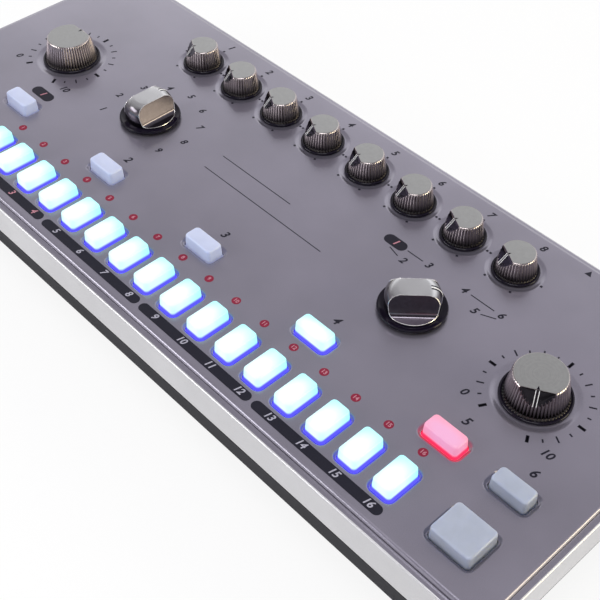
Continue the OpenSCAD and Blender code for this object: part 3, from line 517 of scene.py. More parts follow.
def helper(bm, name, finishes=()):
    """An object in mm that is only used to build another."""
    bmesh.ops.recalc_face_normals(bm, faces=bm.faces)
    mesh = bpy.data.meshes.new(name)
    bm.to_mesh(mesh)
    bm.free()
    for finish in finishes:
        mesh.materials.append(finish)
    obj = bpy.data.objects.new(name, mesh)
    scene.collection.objects.link(obj)
    return obj


def applied(obj, **boolean):
    """A bmesh of obj after its modifiers, with a boolean first where one is given; obj is deleted."""
    if boolean:
        modifier = obj.modifiers.new("boolean", "BOOLEAN")
        for name, value in boolean.items():
            setattr(modifier, name, value)
    mesh = bpy.data.meshes.new_from_object(obj.evaluated_get(bpy.context.evaluated_depsgraph_get()))
    bpy.data.objects.remove(obj)
    bm = bmesh.new()
    bm.from_mesh(mesh)
    bpy.data.meshes.remove(mesh)
    return bm


def merged(bm, part):
    """Adds a mesh in mm to bm and frees it."""
    mesh = bpy.data.meshes.new("part")
    part.to_mesh(mesh)
    part.free()
    bm.from_mesh(mesh)
    bpy.data.meshes.remove(mesh)


def cut(bm, cutter, finishes=()):
    """bm less cutter."""
    body, tool = helper(bm, "body", finishes), helper(cutter, "tool")
    result = applied(body, operation="DIFFERENCE", solver="EXACT", object=tool)
    bpy.data.objects.remove(tool)
    return result


# ---------------------------------------------------------------- geometry nodes
class Recipe(Graph):
    """A geometry node tree with named inputs, made once and run with different sizes."""

    def __init__(self, name, **kinds):
        super().__init__(bpy.data.node_groups.new(name, "GeometryNodeTree"))
        face = self.tree.interface
        self.sockets = {key: face.new_socket(key, in_out="INPUT", socket_type="NodeSocket" + kind)
                        for key, kind in kinds.items()}
        face.new_socket("Geometry", in_out="OUTPUT", socket_type="NodeSocketGeometry")
        start = self.raw("NodeGroupInput", {}, {})
        self.given = {key: Value(self, start.outputs[key]) for key in kinds}

    def ends_in(self, geometry, finish):
        whole = self.node("GeometryNodeRealizeInstances", {}, {0: geometry})
        painted = self.node("GeometryNodeSetMaterial", {}, {"Geometry": whole, "Material": finish})
        self.raw("NodeGroupOutput", {}, {0: painted})

    def made(self, **values):
        """A bmesh of the recipe's result, all in the first finish."""
        obj = bpy.data.objects.new("recipe", bpy.data.meshes.new("recipe"))
        scene.collection.objects.link(obj)
        modifier = obj.modifiers.new("recipe", "NODES")
        modifier.node_group = self.tree
        for key, value in values.items():
            modifier[self.sockets[key].identifier] = value
        bm = applied(obj)
        for face in bm.faces:
            face.material_index = 0
        return bm


def arc_of_bars():
    """Upright little bars on an arc, each pointing away from its middle."""
    g = Recipe("arc_of_bars", Count="Int", First="Float", Step="Float", Radius="Float", Length="Float",
               Width="Float", Height="Float")
    v = g.given
    compass = v["First"] + g.node("GeometryNodeInputIndex") * v["Step"]
    points = g.node("GeometryNodeMeshLine", {}, {"Count": v["Count"]})
    place = g.vector(compass.sine() * v["Radius"], compass.cosine() * v["Radius"], 0.0)
    points = g.node("GeometryNodeSetPosition", {}, {"Geometry": points, "Position": place})
    bar = g.node("GeometryNodeMeshCube", {}, {"Size": g.vector(v["Width"], v["Length"], v["Height"])})
    turn = g.node("FunctionNodeEulerToRotation", {}, {0: g.vector(0.0, 0.0, -compass)})
    g.ends_in(g.node("GeometryNodeInstanceOnPoints", {},
                     {"Points": points, "Instance": bar, "Rotation": turn}), INK_BLACK)
    return g


def row_of_discs():
    """Flat discs in a row along X."""
    g = Recipe("row_of_discs", Count="Int", Pitch="Float", Radius="Float", Height="Float")
    v = g.given
    points = g.node("GeometryNodeMeshLine", {},
                    {"Count": v["Count"], "Offset": g.vector(v["Pitch"], 0.0, 0.0)})
    disc = g.node("GeometryNodeMeshCylinder", {},
                  {"Vertices": 24, "Radius": v["Radius"], "Depth": v["Height"]})
    g.ends_in(g.node("GeometryNodeInstanceOnPoints", {}, {"Points": points, "Instance": disc}), INK_RED)
    return g


def fluted_grip():
    """Tapered grip whose side is worked into round flutes that fade out at both ends."""
    g = Recipe("fluted_grip", Flutes="Int", Foot="Float", Top="Float", Height="Float", Depth="Float")
    v = g.given
    cone = g.node("GeometryNodeMeshCone", {"fill_type": "NGON"},
                  {"Vertices": v["Flutes"] * 8, "Side Segments": 40, "Radius Bottom": v["Foot"],
                   "Radius Top": v["Top"], "Depth": v["Height"]})
    x, y, z = g.node("GeometryNodeInputPosition").split()
    angle = g.node("ShaderNodeMath", {"operation": "ARCTAN2"}, {0: y, 1: x})
    rib = 1 - abs((angle * v["Flutes"] * 0.5).sine())
    ends = z.ease(0.15, 0.6) * (v["Height"] - z).ease(0.15, 0.55)
    radius = (x * x + y * y).root().at_least(0.01)
    toe = (1 - z / 0.7).at_least(0.0)
    swell = toe * toe * (1 - rib) * v["Foot"] * v["Foot"] * 0.003
    brow = (1 - (v["Height"] - z) / 0.6).at_least(0.0)
    keep = 1 + (swell - brow * brow * 0.3 - rib * ends * v["Depth"]) / radius * radius.ease(1.0, 2.0)
    g.ends_in(g.node("GeometryNodeSetPosition", {},
                     {"Geometry": cone, "Position": g.vector(x * keep, y * keep, z)}), SMOKE_PAINTED_FOOT_SHADE)
    return g


BARS, DISCS, GRIP = arc_of_bars(), row_of_discs(), fluted_grip()


# ---------------------------------------------------------------- case
def upper_frame():
    """Silver band with a rounded upper edge, a painted rim that sweeps up to the panel, and the
    ledge that carries the panel."""
    silver, paint, shadow = range(3)
    rim, wall, rear_wall, ledge, edge, corner = 2.2, 2.5, 4.0, 3.0, 0.6, 4.0
    groove, groove_h = 0.6, 0.35
    sweep, sweep_turn = 1.6, math.radians(30)
    ledge_z = UNDER_Z - 2.0
    section = [(groove, PART_Z), (groove, PART_Z + groove_h), (0, PART_Z + groove_h)]
    section += [(edge - edge * math.cos(a), RIM_Z - edge + edge * math.sin(a)) for a in quarter(6)]
    section += [(rim - 0.05 - sweep * (math.sin(sweep_turn) - math.sin(a)), RIM_Z + sweep * (1 - math.cos(a)))
                for a in [sweep_turn * i / 8 for i in range(9)]]
    section += [(rim, section[-1][1] - 0.03), (rim, UNDER_Z), (wall + ledge, UNDER_Z),
                (wall + ledge, ledge_z)]
    rings = [rounded_ring(0, 0, CASE.w - 2 * inset, CASE.d - 2 * inset, max(corner - inset, 1.5), z, 8)
             for inset, z in section]
    rings += [rounded_ring(0, (wall - rear_wall) / 2, CASE.w - 2 * wall, CASE.d - wall - rear_wall,
                           corner - wall, z, 8) for z in (ledge_z, PART_Z)]
    # the groove's two bands are black: painted shade
    shades = [shadow] * 2 + [silver] * 7 + [paint] * 11 + [silver] * 5
    bm = bmesh.new()
    skin(bm, rings, shades, closed=True)
    opening = bmesh.new()
    half, inner, outer = PLATE.w / 2 - 2.0, CASE.d / 2 - 5, CASE.d / 2 + 1
    prism(opening, [(-half, inner), (half, inner), (half, outer), (-half, outer)], PART_Z - 1, ledge_z)
    bm = cut(bm, opening, finishes=(SILVER, PAINT, SHADOW))
    finish_piece(bm, "silver_frame", [SILVER, PAINT, SHADOW], "case", ["upper_frame"], 40)


def lip_rings(key, lip):
    """Rings of the cut for a key: straight through the sheet, then out over a soft dished lip."""
    w, d = (size - 2 * FLANGE_LAP for size in (key.w, key.d))
    depth, corner, steps = 0.8, 1.6, 16
    profile = [(0, UNDER_Z - 1), (0, PANEL_Z - depth)]
    for i in range(1, steps + 1):
        t = i / steps
        profile.append((lip * t, PANEL_Z - depth * (0.5 + 0.5 * math.cos(math.pi * t))))
    profile.append((lip + 0.6, PANEL_Z + 0.6))
    return [rounded_ring(key.x, key.y, w + 2 * out, d + 2 * out, corner + out, z, 7)
            for out, z in profile]


def control_panel():
    """Painted sheet with a rounded edge, dished openings for the keys and wells for the knobs."""
    edge, gap, rim, key_lip, button_lip = 1.2, 0.2, 2.1, 1.1, 1.3
    w, d, r = CASE.w - 2 * (rim + gap), CASE.d - 2 * (rim + gap), 1.9
    bm = bmesh.new()
    rings = [rounded_ring(0, 0, w, d, r, UNDER_Z, 8)]
    for a in quarter(7):
        inset = edge - edge * math.cos(a)
        rings.append(rounded_ring(0, 0, w - 2 * inset, d - 2 * inset, max(r - inset, 1.0),
                                  PANEL_Z - edge + edge * math.sin(a), 8))
    skin(bm, rings)
    tool = bmesh.new()
    for key in STEPS + [START, TAP]:
        skin(tool, lip_rings(key, key_lip))
    for key in BUTTONS:
        skin(tool, lip_rings(key, button_lip))
    for knob in LEVELS + [TEMPO, VOLUME]:
        well_r = knob.w / 2 + WELL_GAP
        dish = [(well_r - 0.5 + 0.2 * well_r * t / 16,
                 PANEL_Z - DISH_DEPTH * (0.5 + 0.5 * math.cos(math.pi * t / 16))) for t in range(17)]
        bore = [(BUSHING_R, UNDER_Z - 1), (BUSHING_R, PANEL_Z - DISH_DEPTH)]
        turned(tool, knob.x, knob.y, bore + dish + [(1.3 * well_r, PANEL_Z + 0.4)], 0, 96)
    for knob in (INSTRUMENT, MODE):
        turned(tool, knob.x, knob.y, [(BUSHING_R, UNDER_Z - 1), (BUSHING_R, PANEL_Z + 1)])
    bm = cut(bm, tool)
    for x, y in STUDS:
        turned(bm, x, y, [(STUD_R, SHEET.low), (STUD_R, UNDER_Z + 0.5)], 0, 24)
    finish_piece(bm, "painted_panel", [PAINT], "case", ["control_panel"], 40, crisp_tops=True)


def stud_places():
    """The panel's studs, over the case screws and the two middle board screws."""
    screws = measure("case_screws")
    head_r, board_d, post_r, gap, past_keys = 2.7, 30, 4.2, 1, 1.7
    side_x = screws.x + screws.w / 2 - head_r
    side_y = (BUTTONS[0].y + MODE.y) / 2
    front_y = (STEPS[0].y + BUTTONS[0].y) / 2 + past_keys
    rear_y = PLATE.y - PLATE.d / 2 - board_d - post_r - gap
    spots = [(0, front_y), (0, rear_y)]
    for side in (-1, 1):
        spots += [(side * side_x, side_y), (side * PITCH * 5.5, front_y), (side * PITCH * 7.2, rear_y)]
    return spots


STUDS = stud_places()
upper_frame()
control_panel()


# ---------------------------------------------------------------- keys
def key_cap(node, key, finish):
    """Pillowed cap with a rounded shoulder, a flange below the panel and a plunger."""
    x, y = key.x, key.y
    lap = KEY_GAP + FLANGE_LAP
    w, d = key.w - 2 * lap, key.d - 2 * lap
    shoulder, draft, crown, plunger_r = 0.7, 0.12, 0.12, 1.6
    rings = [rounded_ring(x, y, key.w, key.d, 1.6, z) for z in (FLANGE_Z, FLANGE_Z + FLANGE_T)]
    rings += [rounded_ring(x, y, w, d, 1.1, z) for z in (FLANGE_Z + FLANGE_T, PANEL_Z)]
    for a in quarter(6):
        inset = draft + shoulder * (1 - math.cos(a))
        rings.append(rounded_ring(x, y, w - 2 * inset, d - 2 * inset, 1.2,
                                  KEY_TOP - crown - shoulder + shoulder * math.sin(a)))
    for inset, z in ((1.5, KEY_TOP - 0.05), (2.4, KEY_TOP)):
        rings.append(rounded_ring(x, y, w - 2 * inset, d - 2 * inset, 0.9, z))
    bm = bmesh.new()
    skin(bm, rings, 0, lambda p: (2 * (p.x - x) / w, 2 * (p.y - y) / d))
    turned(bm, x, y, [(plunger_r, key.low), (plunger_r, FLANGE_Z + 0.2)], 0, 20)
    finish_piece(bm, node + "_cap", [finish], node, [node], 50)


for node, key in zip(STEP_NODES, STEPS):
    key_cap(node, key, LIT)
for node, key, finish in zip(BUTTON_NODES, BUTTONS, (NEAR_CAP_PAINTED_GLOW, NEAR_CAP_PAINTED_GLOW, NEAR_CAP_PAINTED_GLOW, LIT, RED, CAP)):
    key_cap(node, key, finish)
key_cap("start_key", START, CAP)
key_cap("tap_key", TAP, CAP)


# ---------------------------------------------------------------- knobs
def flange(bm, r, foot_r, z, finish):
    """Shallow black dish round a knob's foot, with a rounded rim."""
    turned(bm, 0, 0, [(0.5, z), (r - 0.3, z), (r - 0.07, z + 0.1), (r, z + 0.35), (r - 0.06, z + 0.62),
                      (r - 0.22, z + 0.82), (r - 0.45, z + 0.88), (r - 0.75, z + 0.80),
                      (foot_r + 0.25, z + 0.62), (foot_r - 0.2, z + 0.70), (foot_r - 0.5, z + 0.85),
                      (0.5, z + 0.85)], finish, 96)


def spindle(bm, low, top, finish):
    """Steel spindle from the potentiometer or switch up into the knob."""
    turned(bm, 0, 0, [(SPINDLE_R, low), (SPINDLE_R, top)], finish, 24)


def set_down(bm, knob, compass):
    """Turns a knob clockwise by its compass angle and moves it to its place."""
    bm.transform(Matrix.Translation((knob.x, knob.y, 0)) @ Matrix.Rotation(math.radians(-compass), 4, "Z"))


def pointer_knob(node, knob, compass, grip_d, top_d, chord, low_z, depth, facet, slot):
    """Fluted knob with a slanted facet. The pointer leans to +Y before it is turned."""
    _, slant, satin, black, bright, steel, ring = range(7)
    top, base = knob.high, KNOB_Z + DISH_T
    low = PANEL_Z + low_z
    foot_r, top_r = grip_d / 2, top_d / 2
    bm = GRIP.made(Flutes=round(grip_d * math.pi / 1.1), Foot=foot_r, Top=top_r - 0.12, Height=top - base,
                   Depth=depth)
    bm.transform(Matrix.Translation((0, 0, base)))
    # the facet, from a chord across the top down to the side
    side_r = foot_r + (top_r - foot_r) * (low - base) / (top - base)
    slope = math.atan2(top - low, side_r - 0.1 - chord)
    origin = Vector((0, chord, top))
    normal = Vector((0, math.sin(slope), math.cos(slope)))
    whole = bm.verts[:] + bm.edges[:] + bm.faces[:]
    split = bmesh.ops.bisect_plane(bm, geom=whole, plane_co=origin, plane_no=normal, clear_outer=True)
    rim = [e for e in split["geom_cut"] if isinstance(e, bmesh.types.BMEdge)]
    for face in bmesh.ops.contextual_create(bm, geom=rim)["faces"]:
        face.material_index = slant

    # satin top inside a thin chamfered ring, both cut off along the facet
    def cut_disc(r, z):
        half = math.asin(min(1.0, (chord - 0.1) / r))
        angles = [math.pi - half + i / 96 * (math.pi + 2 * half) for i in range(97)]
        return [(r * math.cos(a), r * math.sin(a), z) for a in angles]

    skin(bm, [cut_disc(top_r - inset, top + lift)
              for inset, lift in ((0.40, -0.1), (0.40, 0), (0.52, 0.05))], ring)
    skin(bm, [cut_disc(top_r - 0.54, top + lift) for lift in (0, 0.07)], satin,
         lambda p: (p.x / top_r, p.y / top_r))
    # black triangle over the pointer: painted shade for a notch in the disc's edge
    wide = 0.05 * foot_r
    notch = [(wide, chord - 0.14), (-wide, chord - 0.14), (0, chord - 0.16 * foot_r)]
    prism(bm, notch, top, top + 0.1, black)
    # raised pointer: a ridge in the facet finish, painted shade, between two arrises in near-white metal,
    # painted highlight
    along = Vector((0, math.cos(slope), -math.sin(slope)))
    reach = (top - low) / math.sin(slope) - 0.1

    def strip(x0, x1, h0, h1, finish):
        ends = []
        for t in (0.12, reach):
            foot = origin + along * t
            corners = ((x0, h0), (x1, h0), (x1, h1), (x0, h1))
            ends.append([foot + normal * h + Vector((x, 0, 0)) for x, h in corners])
        skin(bm, ends, finish)

    sunk, arris = -0.2, 0.1
    strip(-wide, wide, sunk, 0.14, slant)
    for x in (-wide, wide):
        strip(x - arris, x + arris, sunk, 0.2, bright)
    flange(bm, knob.w / 2, foot_r, KNOB_Z, black)
    spindle(bm, knob.low, KNOB_Z + 0.3, steel)
    set_down(bm, knob, compass)
    finish_piece(bm, node + "_dressed", [SMOKE_PAINTED_FOOT_SHADE, facet, DISC, GLOSS, BRIGHT_PAINTED_HIGHLIGHT, STEEL, RING], node,
                 [node], 46)


LEVEL_SHAPE = dict(grip_d=13.8, top_d=11.6, chord=3.6, low_z=3.9, depth=0.28, facet=FACET_PAINTED_SHADE,
                   slot="level_knobs")
DIAL_SHAPE = dict(grip_d=19.5, top_d=16.6, chord=6.1, low_z=5.2, depth=0.42, facet=DIAL_FACET_PAINTED_SHADE,
                  slot="dial_knobs")
for node, knob in zip(LEVEL_NODES, LEVELS):
    pointer_knob(node, knob, -150, **LEVEL_SHAPE)
for node, knob, compass in zip(DIAL_NODES, (TEMPO, VOLUME), (0, 150)):
    pointer_knob(node, knob, compass, **DIAL_SHAPE)


def bead(bm, path, r, finish):
    """Thin round bead along a closed path."""
    middle = sum(path, Vector()) / len(path)
    rings = []
    for i, point in enumerate(path):
        along = (path[(i + 1) % len(path)] - path[i - 1]).normalized()
        aside = (point - middle).cross(along).normalized()
        lift = along.cross(aside)
        rings.append([point + (aside * math.cos(TAU * k / 6) + lift * math.sin(TAU * k / 6)) * r
                      for k in range(6)])
    skin(bm, rings, finish, closed=True)


def selector_knob(node, knob, compass):
    """Bar knob: a domed body of revolution with a scoop on each side of the bar."""
    _, satin, bright, black, steel, pale_painted_highlight = range(6)
    top, shelf, base = knob.high, PANEL_Z + 2.2, SELECTOR_Z + DISH_T
    r, crown, bar, lean, scoop = 8.9, 4.2, 3.5, 1.7, 1.6
    foot = bar + lean
    tilt = math.atan2(lean, top - shelf)
    scoop_x = foot + scoop * (1 / math.cos(tilt) - math.tan(tilt))
    bm = bmesh.new()
    profile = [(0.5, base), (r - 0.1, base), (r, base + 0.3)]
    profile += [(r - crown + crown * math.cos(a), top - crown + crown * math.sin(a)) for a in quarter(16)]
    profile += [(2.0, top), (0.5, top)]
    # the body's pale top, in the selector top finish, is painted reflection
    turned(bm, 0, 0, profile, satin, 128)
    tool = bmesh.new()
    hollow = [(scoop_x - scoop * math.cos(a), shelf + scoop - scoop * math.sin(a))
              for a in [tilt + (math.pi / 2 - tilt) * i / 8 for i in range(9)]]
    outline = [(bar - math.tan(tilt), top + 1)] + hollow + [(r + 3, shelf), (r + 3, top + 1)]
    for side in (-1, 1):
        skin(tool, [[(side * x, y, z) for x, z in outline] for y in (-12, 12)])
    bm = cut(bm, tool, finishes=(MIRROR, PILLOW_PAINTED_REFLECTION))
    # bead along the edge of each scoop: its rounded edge is real, its pale metal is painted highlight
    rim_r = 0.12
    rim_z = top - rim_r
    start_x, start_z = hollow[0]
    run = [(bar + (start_x - bar) * i / 10, rim_z + (start_z - rim_z) * i / 10) for i in range(10)]
    run += hollow + [(scoop_x + (r - scoop_x) * (1 - (1 - i / 8) ** 2), shelf) for i in range(1, 9)]
    reach = [r - crown + math.sqrt(crown ** 2 - max(z - top + crown, 0) ** 2) for _, z in run]
    for side in (-1, 1):
        edge = [Vector((side * x, math.sqrt(max(far ** 2 - x ** 2, 0)), z))
                for (x, z), far in zip(run, reach)]
        bead(bm, edge + [Vector((p.x, -p.y, p.z)) for p in edge[-2::-1]], rim_r, pale_painted_highlight)
    flange(bm, knob.w / 2, r, SELECTOR_Z, black)
    spindle(bm, knob.low, SELECTOR_Z + 0.3, steel)
    # pointer: a thin ridge over the crown in near-white metal, painted highlight, between two black strips
    # that paint the shade of two grooves
    ridge, groove = (0.22, 0.10, bright), (0.26, 0.02, black)
    for x, (wide, lift, finish) in ((0, ridge), (-0.6, groove), (0.6, groove)):
        rings = []
        for a in [math.radians(84 - 84 * i / 14) for i in range(15)]:
            out, up = r - crown + crown * math.cos(a), top - crown + crown * math.sin(a)
            away = Vector((0, math.cos(a), math.sin(a)))
            room = (top - up) / math.sin(a) if a > 0.1 else lift
            mid = Vector((x, math.sqrt(max(out * out - x * x, 0.01)), up))
            rise = min(lift, room)
            corners = ((-1, -0.15), (1, -0.15), (1, rise * 0.4), (0.5, rise), (-0.5, rise), (-1, rise * 0.4))
            rings.append([mid + away * h + Vector((s * wide, 0, 0)) for s, h in corners])
        skin(bm, rings, finish)
    set_down(bm, knob, compass)
    finish_piece(bm, node + "_dressed", [MIRROR, PILLOW_PAINTED_REFLECTION, BRIGHT_PAINTED_HIGHLIGHT, GLOSS, STEEL, EDGE_PAINTED_HIGHLIGHT], node,
                 [node], 30)


selector_knob("instrument_selector", INSTRUMENT, 0)
selector_knob("mode_selector", MODE, 45)


def rocker_marks():
    """A bar for on and a ring for off, on the two halves of the power rocker."""
    joint = next(j for j in frame["record"]["behaviour"]["joints"] if j["name"] == "power_rocker_tilt")
    pivot = Matrix.Translation(Vector(joint["pos_m"]) / MM)
    tilt, half, waist, deep, high = math.radians(8), 7.8, 2.0, -0.02, 0.05
    bar, outer, inner = 0.25, 1.5, 1.05
    bm = bmesh.new()
    for side in (-1, 1):
        mark = bmesh.new()
        if side < 0:
            prism(mark, [(-bar, -outer), (bar, -outer), (bar, outer), (-bar, outer)], deep, high)
        else:
            skin(mark, [circle_ring(0, 0, r, z, 32)
                        for r, z in ((outer, deep), (outer, high), (inner, high), (inner, deep))],
                 closed=True)
        middle = (side * half / 2, waist + half / 2 * math.tan(tilt), 0)
        mark.transform(pivot @ Matrix.Rotation(tilt, 4, "Z") @ Matrix.Translation(middle)
                       @ Matrix.Rotation(side * tilt, 4, "Z") @ Matrix.Rotation(-math.pi / 2, 4, "X"))
        merged(bm, mark)
    finish_piece(bm, "rocker_marks", [INK_PALE], "power_rocker")


rocker_marks()


# ---------------------------------------------------------------- print on the panel
INK_T = 0.035
INK_FOOT = 0.02                 # how far the ink reaches into the paint


def polar(x, y, compass, r):
    """The place at r from x, y in a compass direction."""
    a = math.radians(compass)
    return x + r * math.sin(a), y + r * math.cos(a)


class Print:
    """Thin closed shapes of one ink on the panel's top."""

    def __init__(self, name, finish, layer=0):
        self.name, self.finish, self.bm = name, finish, bmesh.new()
        self.low = PANEL_Z - INK_FOOT
        self.high = PANEL_Z + INK_T * (1 + layer)

    def shape(self, *outline):
        prism(self.bm, outline, self.low, self.high)

    def pill(self, x0, x1, y0, y1):
        ring = rounded_ring((x0 + x1) / 2, (y0 + y1) / 2, x1 - x0, y1 - y0, (y1 - y0) / 2, 0, 8)
        self.shape(*(p[:2] for p in ring))

    def line(self, x0, y0, x1, y1, w):
        start, end = Vector((x0, y0)), Vector((x1, y1))
        aside = (end - start).normalized().orthogonal() * w / 2
        self.shape(start - aside, end - aside, end + aside, start + aside)

    def recipe(self, made, x, y):
        """Adds a recipe's result, whose middle is at its own origin."""
        made.transform(Matrix.Translation((x, y, (self.low + self.high) / 2)))
        merged(self.bm, made)

    def number(self, value, x, y, size, slant=0.25, bold=0.10):
        curve = bpy.data.curves.new("number", "FONT")
        curve.body, curve.size, curve.shear, curve.offset = str(value), size, slant, bold
        curve.align_x, curve.align_y = "CENTER", "CENTER"
        curve.extrude = (self.high - self.low) / 2
        curve.resolution_u = 4
        obj = bpy.data.objects.new("number", curve)
        scene.collection.objects.link(obj)
        self.recipe(applied(obj), x, y)
        bpy.data.curves.remove(curve)

    def done(self):
        finish_piece(self.bm, self.name, [self.finish], "case", (), 30)


black = Print("print_black", INK_BLACK)
pale = Print("print_pale", INK_PALE, 1)
crimson = Print("print_crimson", INK_RED)
rose = Print("print_rose", INK_ROSE, 1)
PRINT_H = INK_T + INK_FOOT


def key_print():
    """A red disc and a number behind each step key, and black pills with numbers in front."""
    disc_y, shift, disc_r = -32.6, -1.0, 1.5
    crimson.recipe(DISCS.made(Count=len(STEPS), Pitch=PITCH, Radius=disc_r, Height=PRINT_H),
                   STEPS[0].x + shift, disc_y)
    for k, key in enumerate(STEPS):
        rose.number(k + 1, key.x + shift, disc_y, 1.9, 0.0, 0.04)
    pill_y, pill_d, left, right = -55.15, 3.5, 6.9, 4.8
    for k in range(0, len(STEPS), 4):
        black.pill(STEPS[k].x - left, STEPS[k + 3].x + right, pill_y - pill_d / 2, pill_y + pill_d / 2)
        for step in range(k, k + 4):
            (rose if k == 0 else pale).number(step + 1, STEPS[step].x, pill_y, 3.3, bold=0.06)


def button_print():
    """A number behind each function button, the first one on a pill."""
    for k, key in enumerate(BUTTONS[1:]):
        black.number(k + 2, key.x, -15.9, 4.2)
    first, half = BUTTONS[0].x, 5.5
    black.pill(first - half, first + half, -18.0, -13.6)
    rose.number(1, first, -15.8, 3.6, bold=0.08)


def ticks(knob, radius, rows):
    """Rows of ticks round a knob: how many, first and step in degrees, length and width."""
    for count, first, step, length, width in rows:
        black.recipe(BARS.made(Count=count, First=math.radians(first), Step=math.radians(step),
                               Radius=radius, Length=length, Width=width, Height=PRINT_H), knob.x, knob.y)


def knob_print():
    """Dots and a number for each level knob, and a scale from 0 to 10 for each dial."""
    dot = 0.8
    for k, knob in enumerate(LEVELS):
        ticks(knob, 10.3, [(1, compass, 0, dot, dot) for compass in (-150, -90, 0, 90, 150)])
        black.number(k + 1, knob.x, 55.0, 3.8)
    # a short tick at every other 15 degrees, a longer one between, and five heavy ones
    scale = ((10, -135, 30, 1.2, 0.5), (11, -150, 30, 2.3, 0.5), (2, -150, 300, 2.5, 1.0),
             (3, -90, 90, 2.5, 1.0))
    for knob in (TEMPO, VOLUME):
        ticks(knob, 16.2, scale)
        black.number(0, knob.x - 15.0, -8.3, 3.8)
        black.number(10, knob.x + 15.0, -8.3, 3.8)


def selector_print():
    """Nine numbers round the instrument selector, and six in two linked groups for the mode."""
    for k in range(9):
        black.number(k + 1, *polar(INSTRUMENT.x, INSTRUMENT.y, -120 + 30 * k, 18.9), 3.6)
    row, low_row, rule = 22.3, 17.9, 0.35
    black.pill(38.4, 47.4, 20.2, 24.4)
    rose.number(1, 42.9, row, 3.4, bold=0.08)
    for k, (x, y) in enumerate(((50.1, low_row), (57.2, row), (72.2, row), (80.0, low_row), (87.1, row))):
        black.number(k + 2, x, y, 3.8)
    black.line(48.2, row, 54.8, row, rule)
    black.line(75.0, row, 84.4, row, rule)
    black.line(43.0, 19.4, 47.6, 18.2, rule)
    black.line(87.0, 20.2, 82.4, 18.2, rule)


key_print()
button_print()
knob_print()
selector_print()
# an arrow towards the phones socket at the rear, and two thin rules across the open middle
black.shape((93.3, 55.7), (95.7, 55.7), (94.5, 58.0))
black.line(-28.6, 1.4, 29.3, 1.4, 0.3)
black.line(-28.6, 9.8, 6.0, 9.8, 0.3)
for layer in (black, pale, crimson, rose):
    layer.done()


# ---------------------------------------------------------------- stage, light and camera
def cyclorama():
    """White floor that curves up into a low wall all round."""
    f = Finish("studio_white", (0.92, 0.92, 0.92), Roughness=0.9)
    path = f.raw("ShaderNodeLightPath", {}, {})
    seen, mirrored, passed = (Value(f, path.outputs[key]) for key in
                              ("Is Camera Ray", "Is Glossy Ray", "Is Transmission Ray"))
    white = 0.88                # share of plain white for what looks at it, in place of its shading
    share = seen.at_least(mirrored).at_least(passed) * white
    glow = f.node("ShaderNodeEmission", {}, {"Color": (1, 1, 1, 1), "Strength": 1.0})
    blend = f.node("ShaderNodeMixShader", {}, {0: share, 1: Value(f, f.shader.outputs[0]), 2: glow})
    f.feed(f.tree.nodes["Material Output"].inputs["Surface"], blend)
    radius, bend, height, steps = 3.6, 0.5, 1.5, 96
    profile = [(0.3, 0.0), (radius, 0.0)]
    profile += [(radius + bend * math.sin(a), bend - bend * math.cos(a)) for a in quarter(10)[1:]]
    profile.append((radius + bend, height))
    rings = [circle_ring(0, 0, r, z, steps) for r, z in profile]
    bm = bmesh.new()
    rows = [[bm.verts.new(p) for p in ring] for ring in rings]
    for low, high in zip(rows, rows[1:]):
        for i in range(steps):
            bm.faces.new((low[i], low[(i + 1) % steps], high[(i + 1) % steps], high[i])).smooth = True
    bm.faces.new(rows[0])
    bmesh.ops.recalc_face_normals(bm, faces=bm.faces)
    bmesh.ops.reverse_faces(bm, faces=bm.faces)
    mesh = bpy.data.meshes.new("cyclorama")
    bm.to_mesh(mesh)
    bm.free()
    mesh.materials.append(f.material)
    stage = bpy.data.objects.new("cyclorama", mesh)
    scene.collection.objects.link(stage)


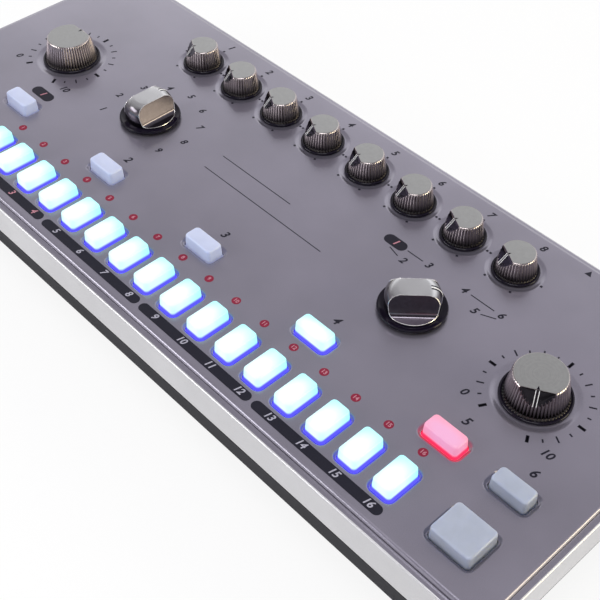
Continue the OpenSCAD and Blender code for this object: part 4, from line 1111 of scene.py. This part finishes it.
def studio_air():
    """World light: bright towards the rear left, dimmer overhead, dark on the viewer's side."""
    world = bpy.data.worlds.new("studio")
    scene.world = world
    world.use_nodes = True
    g = Graph(world.node_tree)
    x, y, z = g.node("ShaderNodeTexCoord", {}, {}, "Generated").split()
    lit_side = g.mix((z - y * 0.3 - x * 0.1).ease(0.41, 0.61), (1.55, 1.55, 1.58), (0.52, 0.51, 0.53))
    g.feed(g.tree.nodes["Background"].inputs[0],
           g.mix((y * 0.72 - x * 0.69).ease(-0.65, 0.25), (0.20, 0.19, 0.22), lit_side))


def softbox(name, towards, distance, w, h, radiance, colour=(1, 1, 1)):
    """Square lamp that faces the object from a direction, given by the light it shows in a mirror."""
    data = bpy.data.lights.new(name, "AREA")
    data.shape = "RECTANGLE"
    data.size, data.size_y = w, h
    data.energy = radiance * math.pi * w * h
    data.color = colour
    lamp = bpy.data.objects.new(name, data)
    scene.collection.objects.link(lamp)
    away = Vector(towards).normalized()
    lamp.location = away * distance
    lamp.rotation_mode = "QUATERNION"
    lamp.rotation_quaternion = (-away).to_track_quat("-Z", "Y")


cyclorama()
studio_air()
softbox("overhead", (0.12, -0.12, 0.98), 1.5, 0.6, 0.6, 6.5)
softbox("front_left", (-0.50, -0.73, 0.47), 1.4, 0.8, 0.42, 6.5)
softbox("warm_right", (0.856, 0.449, 0.256), 1.5, 0.6, 0.5, 8.0, (1.0, 0.88, 0.54))


def camera():
    """Camera that looks down on the right end. It is placed in key pitches from the panel's middle."""
    azimuth, elevation, roll = (math.radians(a) for a in (46.58764895, 46.66411344, 0.31720495))
    lens = 67.742
    from_mark = (23.37633331, -11.52160903, 19.49683278)
    mark = (6.90, 2.5065)       # from the first step's mark to the middle
    view = Vector((-math.sin(azimuth) * math.cos(elevation), math.cos(azimuth) * math.cos(elevation),
                   -math.sin(elevation)))
    level = view.cross(Vector((0, 0, 1))).normalized()
    upright = level.cross(view)
    right = level * math.cos(roll) + upright * math.sin(roll)
    up = upright * math.cos(roll) - level * math.sin(roll)
    data = bpy.data.cameras.new("camera")
    data.lens, data.sensor_width = lens, 36.0
    data.clip_start, data.clip_end = 0.01, 50
    obj = bpy.data.objects.new("camera", data)
    scene.collection.objects.link(obj)
    spot = Vector(((from_mark[0] - mark[0]) * PITCH, (from_mark[1] - mark[1]) * PITCH,
                   PANEL_Z + from_mark[2] * PITCH)) * MM
    obj.matrix_world = Matrix.Translation(spot) @ Matrix((right, up, -view)).transposed().to_4x4()
    scene.camera = obj


camera()
scene.view_settings.view_transform = "Standard"
